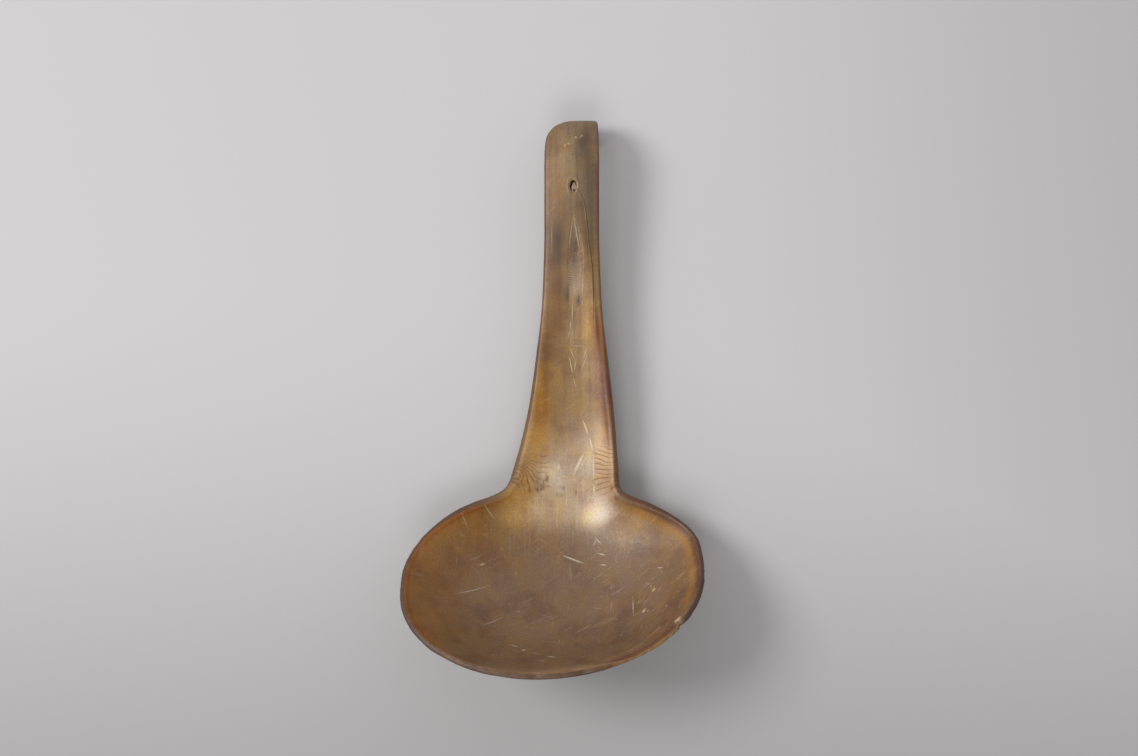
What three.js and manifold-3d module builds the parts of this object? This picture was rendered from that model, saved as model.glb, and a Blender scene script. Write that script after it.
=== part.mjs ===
// A horn ladle: one sheet of horn, spread by heat into a broad oval bowl, folded up at the neck into
// a gutter-like handle, left thick in the grip and curled back at the tip into a hook.
// A small oval hole goes through the grip, with the stub of a peg in it.
//
// The sheet hangs under a ribbon. The ribbon is flat across and runs from the bowl's front rim, level
// over the bowl, up through the neck's bend, along the handle and round the hook. A point of the
// upper face is given by x across and s along that ribbon, and lies some depth under it.
// Millimetres. +Y runs from the bowl to the hook, +X to the right and +Z up, at rest on a table.

import * as THREE from 'three';
import { mergeVertices } from 'three/addons/utils/BufferGeometryUtils.js';
import Module from 'manifold-3d';

const DEGREE = Math.PI / 180;

// Bowl
const bowlHalfWidth = 52.3;
const bowlFrontReach = 40;
const bowlBackReach = 37.9;
const bowlBackFullness = 2.9;
const bowlDepth = 23;
const bowlRoundness = 2.2;
const bowlDishLength = 56;
const bowlSkew = 0.08;
const bowlOffset = -6.85;
const skewFadeFrom = 12;
const skewFadeTo = 34;

// The front right rim is flaked: it stands out a little and its upper face is bevelled down
const flakeBearing = 46 * DEGREE;
const flakeSpread = 12 * DEGREE;
const flakeReach = 0.015;
const flakeDrop = 1.6;
const flakeInnerShare = 0.87;
const flakeOuterShare = 1.03;
const flakeSwellShare = 0.6;
const flakeFadeIn = 10;

// Neck. The sheet starts to bend and to thicken before the neck is reached, and the axis shifts
// from the bowl's middle to the handle's over a longer stretch, counted from the bowl's middle.
const neckPlace = bowlBackReach;
const neckHalfWidth = 17.8;
const shoulderRound = 3;
const shoulderSmoothLead = 26;
const shoulderSmoothEnd = 24;
const neckBend = 40 * DEGREE;
const neckBendLead = 20;
const neckBendLength = 32;
const axisShiftFrom = 6.7;
const axisShiftLength = 80.8;
const thickenLead = 16;
const thickenLength = 28;

// Handle. Places along it are counted from the neck.
const handleLength = 139.5;
const flareLength = 98;
const flarePower = 1.86;
const gripHalfWidth = 7.8;
const troughDepth = 6;
const troughLead = 6;
const troughLength = 82;
const gripFrom = 10;
const gripRunIn = 80;

// The grip's upper face is a low ridge, which runs in from the right edge
const crownHeight = 1.4;
const crownRoundness = 1.7;
const crownFrom = 50;
const crownRunIn = 50;
const ridgeOffsetLow = 7;
const ridgeOffsetHigh = 2.3;
const ridgeFrom = 70;
const ridgeRunIn = 45;

// Hook. Its left corner is cut away over a stretch that is given in shares of its arc.
const hookArc = 40;
const hookTurn = 150 * DEGREE;
const hookTightening = 1.4;
const cornerFrom = 0.12;
const cornerTo = 0.7;
const tipLeftEdge = 2.4;
const tipRightEdge = 7.8;
const tipRoundLength = 6;
const tipRoundness = 0.4;

// Thickness of the horn, in the middle and at the edge
const bowlThickness = 2.6;
const rimThickness = 2.2;
const neckThickness = 4;
const neckEdgeThickness = 3.4;
const gripThickness = 6.4;
const gripEdgeThickness = 4.6;
const tipThickness = 4.2;
const tipEdgeThickness = 3.4;

// Hole through the grip, and the stub of the peg in it
const holeBelowTop = 26.1;
const holeWidth = 2.4;
const holeHeight = 4.2;
const holeOffset = 0.5;
const pegWidth = 1.2;
const pegHeight = 2.8;
const pegClearance = 0.3;
const pegTaper = 0.9;
const pegRecess = 0.4;
const holeSides = 20;
const cutterLength = 3 * gripThickness;

// Depth of the flats that use has worn under the bowl and on the hook's tip
const wornFlat = 0.4;

// Fineness of the sheet
const frontRows = 11;
const acrossSteps = 26;
const lipSteps = 4;
const shoulderReach = 10;
const bowlSteps = 8;
const shoulderSteps = 12;
const handleSteps = 18;
const hookSteps = 16;

// Marks along the ribbon, counted from the bowl's middle
const ribbonLead = 16;
const ribbonStart = -bowlFrontReach - ribbonLead;
const hookStart = neckPlace + handleLength - hookRise();
const ribbonEnd = hookStart + hookArc;

function clamp(value, low, high) {
  return Math.min(high, Math.max(low, value));
}

function ease(value, from, to) {
  const k = clamp((value - from) / (to - from), 0, 1);
  return k * k * (3 - 2 * k);
}

function mix(a, b, k) {
  return a + (b - a) * k;
}

// Share of the hook's arc that lies behind a place: 0 on the handle and 1 at the tip.
function hookShare(s) {
  return clamp((s - hookStart) / hookArc, 0, 1);
}

// Height of the hook's arch over the place where it starts to turn.
function hookRise() {
  const steps = 400;
  let rise = 0;
  for (let step = 0; step < steps; step += 1) {
    const slope = hookTurn * ((step + 0.5) / steps) ** hookTightening;
    rise += Math.max(0, Math.cos(slope)) * (hookArc / steps);
  }
  return rise;
}

// Slope of the ribbon: level over the bowl, up at the neck, and back over at the hook.
function ribbonSlope(s) {
  const bendStart = neckPlace - neckBendLead;
  const up = neckBend * ease(s, bendStart, bendStart + neckBendLength);
  const turned = Math.max(0, (s - hookStart) / hookArc) ** hookTightening;
  return up - hookTurn * turned;
}

// The ribbon's side view, summed from its slope in small steps.
function makeRibbon() {
  const step = 0.25;
  const overrun = 2;
  const points = [];
  let y = ribbonStart;
  let z = 0;
  for (let s = ribbonStart; s < ribbonEnd + overrun; s += step) {
    points.push([y, z]);
    const slope = ribbonSlope(s + step / 2);
    y += Math.cos(slope) * step;
    z += Math.sin(slope) * step;
  }
  return function ribbonAt(s) {
    const place = clamp((s - ribbonStart) / step, 0, points.length - 2);
    const index = Math.floor(place);
    const [y0, z0] = points[index];
    const [y1, z1] = points[index + 1];
    return [mix(y0, y1, place - index), mix(z0, z1, place - index)];
  };
}

const ribbonAt = makeRibbon();

// How far the two edges move in over the hook: the left corner is cut away, so the tip is on the right.
function hookCorner(s) {
  const cut = clamp((hookShare(s) - cornerFrom) / (cornerTo - cornerFrom), 0, 1) ** 2;
  const left = (tipLeftEdge + gripHalfWidth) * ease(cut, 0, 1);
  const right = (tipRightEdge - gripHalfWidth) * ease(hookShare(s), cornerTo, 1);
  return [left, right];
}

// The tip's end is rounded, so the sheet narrows over its last stretch.
function tipNarrowing(s) {
  const intoTip = clamp((s - ribbonEnd + tipRoundLength) / tipRoundLength, 0, 1);
  return Math.sqrt(1 - tipRoundness * intoTip ** 2);
}

// Half width with sharp corners where the bowl's oval meets the handle.
function sharpWidth(s) {
  const along = Math.max(s, 0);
  const bowl = bowlHalfWidth * Math.sqrt(Math.max(0, 1 - (along / bowlBackReach) ** bowlBackFullness));
  const flare = clamp(1 - (along - neckPlace) / flareLength, 0, 1) ** flarePower;
  return Math.max(bowl, mix(gripHalfWidth, neckHalfWidth, flare));
}

// Round shoulders: around the neck the width is an average over a short stretch.
function halfWidth(s) {
  const along = Math.max(s, 0);
  const fadeIn = ease(along, neckPlace - shoulderSmoothLead, neckPlace - shoulderRound);
  const fadeOut = 1 - ease(along, neckPlace + shoulderRound, neckPlace + shoulderSmoothEnd);
  const reach = shoulderRound * fadeIn * fadeOut;
  const samples = 6;
  let sum = 0;
  let weights = 0;
  for (let sample = -samples; sample <= samples; sample += 1) {
    const weight = 1 + Math.cos((Math.PI * sample) / (samples + 1));
    sum += weight * sharpWidth(along + (reach * sample) / samples);
    weights += weight;
  }
  const [left, right] = hookCorner(along);
  return (sum / weights + (right - left) / 2) * tipNarrowing(along);
}

function centreLine(s) {
  const along = Math.max(s, 0);
  const [left, right] = hookCorner(along);
  const gone = clamp((along - axisShiftFrom) / axisShiftLength, 0, 1);
  return bowlOffset * (1 - gone) ** 3 * (1 + 3 * gone) + (left + right) / 2;
}

// Depth of the hollow under the ribbon, on the middle line.
function middleDepth(s) {
  if (s < 0) {
    return bowlDepth;
  }
  const dish = (bowlDepth - troughDepth) * (1 - clamp(s / bowlDishLength, 0, 1) ** 2) ** 2;
  const troughStart = neckPlace - troughLead;
  return dish + troughDepth * (1 - ease(s, troughStart, troughStart + troughLength));
}

// Height of the grip's low ridge over the ribbon. It fades out around the hook.
function crown(x, s) {
  const rise = ease(s, neckPlace + crownFrom, neckPlace + crownFrom + crownRunIn);
  const full = crownHeight * rise * (1 - ease(hookShare(s), 0, cornerTo));
  if (full === 0) {
    return 0;
  }
  const half = halfWidth(s);
  const drift = ease(s, neckPlace + ridgeFrom, neckPlace + ridgeFrom + ridgeRunIn);
  const ridge = mix(ridgeOffsetLow, ridgeOffsetHigh, drift) * (half / gripHalfWidth);
  const fromRidge = x - centreLine(s) - ridge;
  const reach = fromRidge < 0 ? half + ridge : half - ridge;
  return full * (1 - Math.min(1, Math.abs(fromRidge) / reach) ** crownRoundness);
}

// 0 at the middle of the sheet and 1 at its edge.
function edgeShare(x, s) {
  const across = Math.abs(x - centreLine(s)) / halfWidth(s);
  return s < 0 ? Math.hypot(across, s / bowlFrontReach) : across;
}

// How strongly a place in the front half of the bowl belongs to the flaked stretch of the rim.
function flakeShare(x, s) {
  if (s >= 0) {
    return 0;
  }
  const bearing = Math.atan2((x - centreLine(s)) / bowlHalfWidth, -s / bowlFrontReach);
  return Math.exp(-(((bearing - flakeBearing) / flakeSpread) ** 2)) * ease(-s, 0, flakeFadeIn);
}

// What stands out of the plain hollow: the grip's ridge, less the bevel on the flaked rim.
function relief(x, s) {
  const rimward = ease(edgeShare(x, s), flakeInnerShare, flakeOuterShare);
  return crown(x, s) - flakeDrop * flakeShare(x, s) * rimward;
}

function thickness(x, s) {
  const rho = Math.min(edgeShare(x, s), 1);
  const toNeck = ease(s, neckPlace - thickenLead, neckPlace - thickenLead + thickenLength);
  const toGrip = ease(s, neckPlace + gripFrom, neckPlace + gripFrom + gripRunIn);
  const toTip = ease(hookShare(s), 0, 1);
  let middle = mix(bowlThickness, neckThickness, toNeck);
  middle = mix(middle, gripThickness, toGrip);
  middle = mix(middle, tipThickness, toTip);
  let edge = mix(rimThickness, neckEdgeThickness, toNeck);
  edge = mix(edge, gripEdgeThickness, toGrip);
  edge = mix(edge, tipEdgeThickness, toTip);
  return mix(middle, edge, rho * rho);
}

// Place on the plain hollow, before the relief is added.
function hollowPoint(x, s) {
  const skewed = s + bowlSkew * (x - bowlOffset) * (1 - ease(s, skewFadeFrom, skewFadeTo));
  const [y, z] = ribbonAt(skewed);
  const slope = ribbonSlope(skewed);
  const depth = middleDepth(s) * (1 - edgeShare(x, s) ** bowlRoundness);
  return new THREE.Vector3(x, y + depth * Math.sin(slope), z - depth * Math.cos(slope));
}

function faceNormal(x, s) {
  const reach = 0.05;
  const acrossWay = hollowPoint(x + reach, s).sub(hollowPoint(x - reach, s));
  const alongWay = hollowPoint(x, s + reach).sub(hollowPoint(x, s - reach));
  return acrossWay.cross(alongWay).normalize();
}

function upperPoint(x, s) {
  return hollowPoint(x, s).addScaledVector(faceNormal(x, s), relief(x, s));
}

function lowerPoint(x, s) {
  return hollowPoint(x, s).addScaledVector(faceNormal(x, s), -thickness(x, s));
}

// Stations from the bowl's middle to the tip, closer together where the outline turns.
function stations() {
  const stretches = [
    [0, neckPlace - shoulderReach, bowlSteps],
    [neckPlace - shoulderReach, neckPlace + shoulderReach, shoulderSteps],
    [neckPlace + shoulderReach, hookStart, handleSteps],
    [hookStart, ribbonEnd, hookSteps],
  ];
  const list = [0];
  for (const [from, to, steps] of stretches) {
    for (let step = 1; step <= steps; step += 1) {
      list.push(mix(from, to, step / steps));
    }
  }
  return list;
}

// Rows of places on the sheet. The front half of the bowl is a square grid pressed into a half disc.
function sheetRows() {
  const rows = [];
  for (let row = 0; row < frontRows; row += 1) {
    const u = row / frontRows - 1;
    rows.push(acrossList().map((v) => {
      const s = u * Math.sqrt(1 - (v * v) / 2) * bowlFrontReach;
      const x = bowlOffset + v * Math.sqrt(1 - (u * u) / 2) * bowlHalfWidth;
      const swell = 1 + flakeReach * flakeShare(x, s) * ease(edgeShare(x, s), flakeSwellShare, 1);
      return [bowlOffset + (x - bowlOffset) * swell, s * swell];
    }));
  }
  for (const s of stations()) {
    rows.push(acrossList().map((v) => [centreLine(s) + v * halfWidth(s), s]));
  }
  return rows;
}

function acrossList() {
  return Array.from({ length: acrossSteps + 1 }, (_, step) => (2 * step) / acrossSteps - 1);
}

// Index pairs of the places on the sheet's edge, anticlockwise seen from above.
function edgeLoop(rowCount) {
  const loop = [];
  for (let row = rowCount - 1; row > 0; row -= 1) {
    loop.push([row, 0]);
  }
  for (let column = 0; column < acrossSteps; column += 1) {
    loop.push([0, column]);
  }
  for (let row = 0; row < rowCount - 1; row += 1) {
    loop.push([row, acrossSteps]);
  }
  for (let column = acrossSteps; column > 0; column -= 1) {
    loop.push([rowCount - 1, column]);
  }
  return loop;
}

// Half rounds that join the upper to the lower face all along the edge.
function lipPoints(loop, upper, lower) {
  const middles = loop.map(([row, column]) => (
    upper[row][column].clone().add(lower[row][column]).multiplyScalar(0.5)
  ));
  return loop.map(([row, column], index) => {
    const before = middles[(index + loop.length - 1) % loop.length];
    const after = middles[(index + 1) % loop.length];
    const half = upper[row][column].clone().sub(middles[index]);
    const outward = after.clone().sub(before).cross(half).normalize().multiplyScalar(half.length());
    return Array.from({ length: lipSteps - 1 }, (_, step) => {
      const turn = (Math.PI * (step + 1)) / lipSteps;
      return middles[index].clone()
        .addScaledVector(half, Math.cos(turn))
        .addScaledVector(outward, Math.sin(turn));
    });
  });
}

function hornSheet() {
  const rows = sheetRows();
  const upper = rows.map((row) => row.map(([x, s]) => upperPoint(x, s)));
  const lower = rows.map((row) => row.map(([x, s]) => lowerPoint(x, s)));
  const loop = edgeLoop(rows.length);
  const lips = lipPoints(loop, upper, lower);
  const width = acrossSteps + 1;
  const faceSize = rows.length * width;
  const points = [...upper.flat(), ...lower.flat(), ...lips.flat()];
  const triangles = [];
  const quad = (a, b, c, d) => triangles.push(a, b, c, a, c, d);
  for (let row = 0; row < rows.length - 1; row += 1) {
    for (let column = 0; column < acrossSteps; column += 1) {
      const a = row * width + column;
      quad(a, a + 1, a + 1 + width, a + width);
      quad(faceSize + a, faceSize + a + width, faceSize + a + 1 + width, faceSize + a + 1);
    }
  }
  const ringIndex = (place, step) => {
    const [row, column] = loop[place % loop.length];
    if (step === 0) {
      return row * width + column;
    }
    if (step === lipSteps) {
      return faceSize + row * width + column;
    }
    return 2 * faceSize + (place % loop.length) * (lipSteps - 1) + step - 1;
  };
  for (let place = 0; place < loop.length; place += 1) {
    for (let step = 0; step < lipSteps; step += 1) {
      quad(
        ringIndex(place, step),
        ringIndex(place, step + 1),
        ringIndex(place + 1, step + 1),
        ringIndex(place + 1, step),
      );
    }
  }
  const geometry = new THREE.BufferGeometry().setFromPoints(points);
  geometry.setIndex(triangles);
  return geometry;
}

// Where the grip's hole is: its middle, and the way through the horn.
function holePlace() {
  const s = neckPlace + handleLength - holeBelowTop;
  const x = centreLine(s) + holeOffset;
  const normal = faceNormal(x, s);
  const depth = thickness(x, s) + relief(x, s);
  const middle = upperPoint(x, s).addScaledVector(normal, -depth / 2);
  return { middle, normal, depth };
}

// An oval plug along the hole's axis, its long way running along the handle.
function ovalPlug(width, height, length, taper, aside) {
  const { middle, normal } = holePlace();
  const plug = new THREE.CylinderGeometry(0.5, 0.5 * taper, length, holeSides);
  plug.scale(width, 1, height);
  plug.translate(aside, 0, 0);
  const across = new THREE.Vector3(1, 0, 0).addScaledVector(normal, -normal.x).normalize();
  const along = new THREE.Vector3().crossVectors(across, normal);
  plug.applyMatrix4(new THREE.Matrix4().makeBasis(across, normal, along).setPosition(middle));
  return plug;
}

// Angle by which the spoon tips back until the bowl and the hook's tip stand on one level.
function restTilt(sheet) {
  const points = sheet.getAttribute('position');
  const hookSide = neckPlace + handleLength / 3;
  const steepest = 80 * DEGREE;
  const halvings = 40;
  const lowest = (tilt, isHook) => {
    let low = Infinity;
    for (let index = 0; index < points.count; index += 1) {
      const y = points.getY(index);
      if ((y > hookSide) === isHook) {
        low = Math.min(low, points.getZ(index) * Math.cos(tilt) - y * Math.sin(tilt));
      }
    }
    return low;
  };
  let low = 0;
  let high = steepest;
  for (let halving = 0; halving < halvings; halving += 1) {
    const tilt = (low + high) / 2;
    if (lowest(tilt, true) > lowest(tilt, false)) {
      low = tilt;
    } else {
      high = tilt;
    }
  }
  return { tilt: low, floor: lowest(low, false) };
}

const wasm = await Module();
wasm.setup();

function solidOf(geometry) {
  const bare = geometry.clone();
  bare.deleteAttribute('normal');
  bare.deleteAttribute('uv');
  const merged = mergeVertices(bare);
  return new wasm.Manifold(new wasm.Mesh({
    numProp: 3,
    vertProperties: new Float32Array(merged.getAttribute('position').array),
    triVerts: new Uint32Array(merged.getIndex().array),
  }));
}

function geometryOf(solid) {
  const mesh = solid.getMesh();
  const geometry = new THREE.BufferGeometry();
  geometry.setAttribute('position', new THREE.BufferAttribute(mesh.vertProperties, 3));
  geometry.setIndex(new THREE.BufferAttribute(mesh.triVerts, 1));
  geometry.computeVertexNormals();
  return geometry;
}

// Everything above the table, as a block to keep.
function aboveTable() {
  const size = 2 * (bowlFrontReach + neckPlace + handleLength);
  return new THREE.BoxGeometry(size, size, size).translate(0, 0, size / 2);
}

function makeHorn(sheet, stand) {
  const cutter = ovalPlug(holeWidth, holeHeight, cutterLength, 1, 0).applyMatrix4(stand);
  const solid = solidOf(sheet.clone().applyMatrix4(stand));
  return geometryOf(solid.subtract(solidOf(cutter)).intersect(solidOf(aboveTable())));
}

// The stub is narrower than the hole and leans on its right wall.
function makePeg(stand) {
  const length = holePlace().depth - 2 * pegRecess;
  const aside = (holeWidth - pegWidth) / 2 - pegClearance;
  return ovalPlug(pegWidth, pegHeight, length, pegTaper, aside).applyMatrix4(stand);
}

const sheet = hornSheet();
const { tilt, floor } = restTilt(sheet);
const stand = new THREE.Matrix4().makeTranslation(0, 0, -floor - wornFlat)
  .multiply(new THREE.Matrix4().makeRotationX(-tilt));

const hornColour = new THREE.Color(0.42, 0.31, 0.17);
const pegColour = new THREE.Color(0.6, 0.47, 0.33);

const horn = new THREE.Mesh(
  makeHorn(sheet, stand),
  new THREE.MeshStandardMaterial({ color: hornColour, roughness: 0.42, metalness: 0 }),
);
horn.name = 'horn_body';

const peg = new THREE.Mesh(
  makePeg(stand),
  new THREE.MeshStandardMaterial({ color: pegColour, roughness: 0.7, metalness: 0 }),
);
peg.name = 'hole_peg';

// The origin goes under the middle of the whole spoon's box.
const spoon = new THREE.Group();
spoon.add(horn, peg);
const box = new THREE.Box3().setFromObject(spoon);
spoon.position.set(-(box.min.x + box.max.x) / 2, -(box.min.y + box.max.y) / 2, 0);
spoon.updateMatrixWorld(true);

export default spoon;
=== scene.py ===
# Looks of the horn ladle. The solid gives the shape and place of every piece. Here the sheet of horn is
# built again on the same curves as a fine mesh, with its wrinkles, crack, chips and flaked rim, and gets
# its colours, grain and scratches. Places on the sheet are x, across, and s, along its middle line, with
# 0 in the middle of the bowl. Lengths are in millimetres until a mesh is made.

from math import atan2, copysign, cos, hypot, pi, radians, sin

import bpy
import numpy as np
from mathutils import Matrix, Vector


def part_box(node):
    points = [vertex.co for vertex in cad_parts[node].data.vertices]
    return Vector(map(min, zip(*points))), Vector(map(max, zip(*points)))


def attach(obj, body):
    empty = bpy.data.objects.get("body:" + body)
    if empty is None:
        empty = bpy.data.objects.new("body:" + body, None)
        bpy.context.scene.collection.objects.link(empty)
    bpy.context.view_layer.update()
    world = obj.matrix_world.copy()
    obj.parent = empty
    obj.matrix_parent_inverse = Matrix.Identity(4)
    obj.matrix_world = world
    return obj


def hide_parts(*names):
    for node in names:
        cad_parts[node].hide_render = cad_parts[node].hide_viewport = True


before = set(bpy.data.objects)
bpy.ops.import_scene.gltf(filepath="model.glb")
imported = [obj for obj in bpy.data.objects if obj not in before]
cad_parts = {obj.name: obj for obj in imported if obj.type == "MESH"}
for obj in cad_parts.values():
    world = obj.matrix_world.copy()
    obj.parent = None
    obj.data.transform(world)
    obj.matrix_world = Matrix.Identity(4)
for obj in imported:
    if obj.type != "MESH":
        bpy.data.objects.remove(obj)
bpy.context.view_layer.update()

MM = 0.001

# Bowl
BOWL_HALF = 52.3
BOWL_FRONT_REACH = 40
BOWL_BACK_REACH = 37.9
BOWL_BACK_FULLNESS = 2.9
BOWL_DEPTH = 23
BOWL_ROUNDNESS = 2.2
BOWL_DISH_LENGTH = 56
BOWL_SKEW = 0.08
BOWL_OFFSET = -6.85
SKEW_FADE = (12, 34)

# Flaked stretch of the rim, with bearings in degrees
FLAKE_BEARING = 46
FLAKE_SPREAD = 12
FLAKE_REACH = 0.015
FLAKE_SWELL_SHARE = 0.6
FLAKE_FADE_IN = 10

# Neck. Spans here and on the handle are measured from the neck's place.
NECK_PLACE = BOWL_BACK_REACH
NECK_HALF = 17.8
SHOULDER_ROUND = 3
FILLET = 8
FILLET_FROM = 34.6
SHOULDER_SPAN = (-26, -3, 3, 24)
NECK_BEND = radians(40)
NECK_BEND_SPAN = (-20, 12)
AXIS_SHIFT_FROM = 6.7
AXIS_SHIFT_LENGTH = 80.8
THICKEN_SPAN = (-16, 12)

# Handle
HANDLE_LENGTH = 139.5
FLARE_LENGTH = 98
FLARE_POWER = 1.86
GRIP_HALF = 7.8
TROUGH_DEPTH = 6
TROUGH_SPAN = (-6, 76)
GRIP_SPAN = (10, 90)
CROWN_HEIGHT = 1.4
CROWN_ROUNDNESS = 1.7
CROWN_SPAN = (50, 100)
RIDGE_OFFSETS = (7, 2.3)
RIDGE_SPAN = (70, 115)

# Hook
HOOK_ARC = 40
HOOK_TURN = radians(150)
HOOK_TIGHTENING = 1.4
CORNER_FROM = 0.09
CORNER_TO = 0.7
TIP_LEFT_EDGE = 2.4
TIP_RIGHT_EDGE = 7.8
TIP_ROUND_LENGTH = 6
TIP_ROUNDNESS = 0.4
RIBBON_LEAD = 16
RIBBON_SPARE = 2

# Thickness in the middle and at the edge: bowl, neck, grip and tip
THICKNESSES = ((2.6, 2.2), (4, 3.4), (6.4, 4.6), (4.2, 3.4))

# Hole and peg
HOLE_PLACE = NECK_PLACE + HANDLE_LENGTH - 26.1
HOLE_WIDTH = 2.4
HOLE_HEIGHT = 4.2
HOLE_OFFSET = 0.5
NARROWING_ACROSS = 0.34
NARROWING_ALONG = 0.24
NARROWING_REACH = 2.4
PEG_WIDTH = 1.2
PEG_CLEARANCE = 0.3

# Rest on the table: depth of both flats, and search for the tilt
WORN_FLAT = 0.4
TILT_LIMIT = radians(80)
TILT_STEPS = 40

# Studio, in metres and watts. Lamps: name, place, size, power.
LAMPS = (
    ("key", (-1.42, 0.2, 1.6), 0.85, 25),
    ("fill", (-0.2, -1.4, 1.7), 1, 11.5),
)
WORLD_FRONT_TO_BACK = (0.34, 0.6)
WORLD_LEFT_TO_RIGHT = (1.25, 0.85)
WORLD_FRONT_SPAN = (-0.9, 0.6)
WORLD_SIDE_SPAN = (-0.9, 0.9)
BACKDROP_STRENGTH = 0.55
LAMP_AIM = (0, -0.02, 0.02)
# Paper: its pale colour, and painted shade that greys it towards the front and the right
PAPER_PALE = (0.56, 0.548, 0.553, 1)
PAPER_SHADE = (0.34, 0.325, 0.332, 1)
PAPER_ROUGHNESS = 0.9
PAPER_HALF_SIZE = 3
PAPER_SHADE_FRONT = (-0.2, 0.05, 1, 0)
PAPER_SHADE_RIGHT = (0.02, 0.25, 0, 0.45)
CAMERA_PLACE = (0.0058, -0.1246, 0.9803)
CAMERA_TILT = radians(7.75)
CAMERA_LENS = 84
CAMERA_SENSOR = 36
CAMERA_NEAR = 0.05

# Fineness of the mesh
ACROSS_STEPS = 120
FRONT_ROWS = 66
STRETCHES = ((0, 26, 40), (26, 72, 104), (72, 148, 66), (148, 157, 34), (157, None, 62))
LIP_STEPS = 8
LIP_SQUARENESS = 0.6
EDGE_CROWDING = 0.25
WALL_STEPS = 5
NEAR_RIM = 0.7
RIM_PARTS = 120
FAR = 999
TINY = 1e-9

# How far down a point is: 0 on the upper face, 1 on the lower one and more than 2 in the hole. The lower
# face's pattern lies deeper by the last number.
HALFWAY_DOWN = 0.5
IN_HOLE = 2
PATTERN_DEPTH = 4

# Tables of random values for the unevenness
RANDOM_SEED = 7
TABLE_COUNT = 12
TABLE_SIZE = 256

# Sockets of a mix of colours: share, first and second colour, and result
COLOUR_MIX_INPUTS = (0, 6, 7)
COLOUR_MIX_OUTPUT = 2

# Crack beside the hole and crease beside the middle of the neck, as points x and s
GRIP_CRACK = (
    (1.9, 150.3), (3.5, 148.4), (5.1, 143.4), (5.7, 138.4), (6.6, 129), (7.7, 121), (8, 112), (8.2, 102),
)
NECK_CREASE = (
    (3.8, 65.9), (5.2, 62.6), (6.4, 59.6), (7.4, 56.4), (7.9, 53.4), (8.1, 48), (8.2, 42.7), (8.4, 38.8),
)
CRACK_DEPTH = 0.22
CRACK_HALF = 0.17
CRACK_END = (150, 150.6)
CRACK_END_LOSS = 0.7
CREASE_HEIGHT = 0.22
CREASE_HALF = 0.8
CREASE_ALONG = (38, 42, 60, 67)

# Long lens below the hole where the top layer has split off
LENS_TOP = 140.5
LENS_END = 101
LENS_HALF = 3
LENS_BLUNTNESS = 0.75
LENS_TIP_HALF = 0.05
LENS_MIDDLE = 0.5
LENS_BOW = 0.9
LENS_EDGE = 0.15
LENS_DEPTH = 0.1

# Wrinkles on both sides of the neck and scraping marks in the lens
RIGHT_FOLD_SPACING = 1.9
RIGHT_FOLD_START = 8
RIGHT_FOLD_LEANS = (0.22, -0.5)
RIGHT_FOLD_LEAN_FROM = 42
RIGHT_FOLD_LEAN_LENGTH = 12
RIGHT_FOLD_INNER = (7.4, 9)
RIGHT_FOLD_OUTER = (12.6, 15.6)
RIGHT_FOLD_ALONG = (37, 41, 52, 58)
RIGHT_FOLD_SHARE = 0.85
LEFT_FOLD_CENTRE = (-18.9, 50.2)
LEFT_FOLD_RAYS = 4.3
LEFT_FOLD_REACH = (0.8, 2.4, 6, 14)
LEFT_FOLD_TURN = (-0.4, -0.1)
LEFT_FOLD_SHARE = 0.8
FOLD_DEPTH = 0.12
FOLD_VALLEY = 0.32
CHATTER_SPACING = 0.8
CHATTER_LEAN = 0.25
CHATTER_PLACE = (0.5, 118.5)
CHATTER_REACH = (2.4, 5.5)

# Edge of the hole: the swell round it and the drop at it, above and below
HOLE_SWELL = 0.1
HOLE_SWELL_PLACE = 0.75
HOLE_SWELL_REACH = 0.4
HOLE_DROP = 0.3
HOLE_DROP_REACH = 0.32
HOLE_UNDER_DROP = 0.25
HOLE_UNDER_REACH = 0.35

# Flaked bevel and worn rim. The bevel's inner edge is a share of the way to the rim.
BEVEL_TURN = (16, 34, 57, 59.5)
BEVEL_INNER = 0.85
BEVEL_DROP = 1.45
BEVEL_CURVE = 1.7
JAGGED_TURN = (16, 30, 57, 60)
JAGGED_PULL = 0.14
RIM_WEAR = 0.06
RIM_PULL_FROM = 0.9
RIM_PULL_END = (18, 32)
RIM_LENGTH_PER_DEGREE = 0.8

# Chips in the bowl's rim: bearing in degrees, half length along the rim, depth
RIM_CHIPS = (
    (58.3, 1.6, 1.2), (11.5, 2.2, 0.5), (24, 1.6, 0.45), (-6.5, 2, 0.35), (38, 1.2, 0.4),
    (49, 1.4, 0.45), (-47, 1.8, 0.3),
)

# Unevenness: height, steps per unit across and along, start, first table of random values, layers
LENS_WANDER = (0.25, 0, 0.6, 3, 2, 1)
LENS_ROUGH = (0.05, 1.1, 0.35, 0, 6, 4)
RIGHT_FOLD_WANDER = (0.5, 0.4, 0.5, 0, 3, 1)
RIGHT_FOLD_RAGGED = (0.9, 0, 0.9, 2, 12, 2)
RIGHT_FOLD_PATCHY = (0.4, 0.3, 0.8, 0, 13, 1)
LEFT_FOLD_WANDER = (0.45, 0.4, 0.4, 0, 5, 1)
LEFT_FOLD_PATCHY = (0.6, 0.4, 0.4, 0, 14, 1)
CHATTER_WANDER = (0.3, 0.8, 0.8, 0, 7, 1)
HOLE_CHIPPED = (0.8, 0.9, 0.9, 0, 8, 1)
HOLE_RIM_CHIPPED = (0.7, 1.2, 1.2, 0, 15, 1)
BEVEL_WANDER = (0.012, 0.12, 0, 0, 9, 1)
BEVEL_CHIPPED = (0.1, 0.45, 0.45, 0, 1, 3)
SAG = (0.07, 1 / 15, 1 / 15, 0, 10, 3)
STREAKS = (0.012, 1 / 2.5, 1 / 14, 0, 11, 2)
FACETS = (0.1, 1 / 6, 1 / 34, 9, 3, 3)
SCRAPES = (0.015, 1 / 1.6, 1 / 18, 0, 5, 2)
JAGGED = (0.2, 0.9, 0, 0, 2, 3)
RIM_WORN = (0.06, 0.5, 0, 0, 4, 3)
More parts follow.
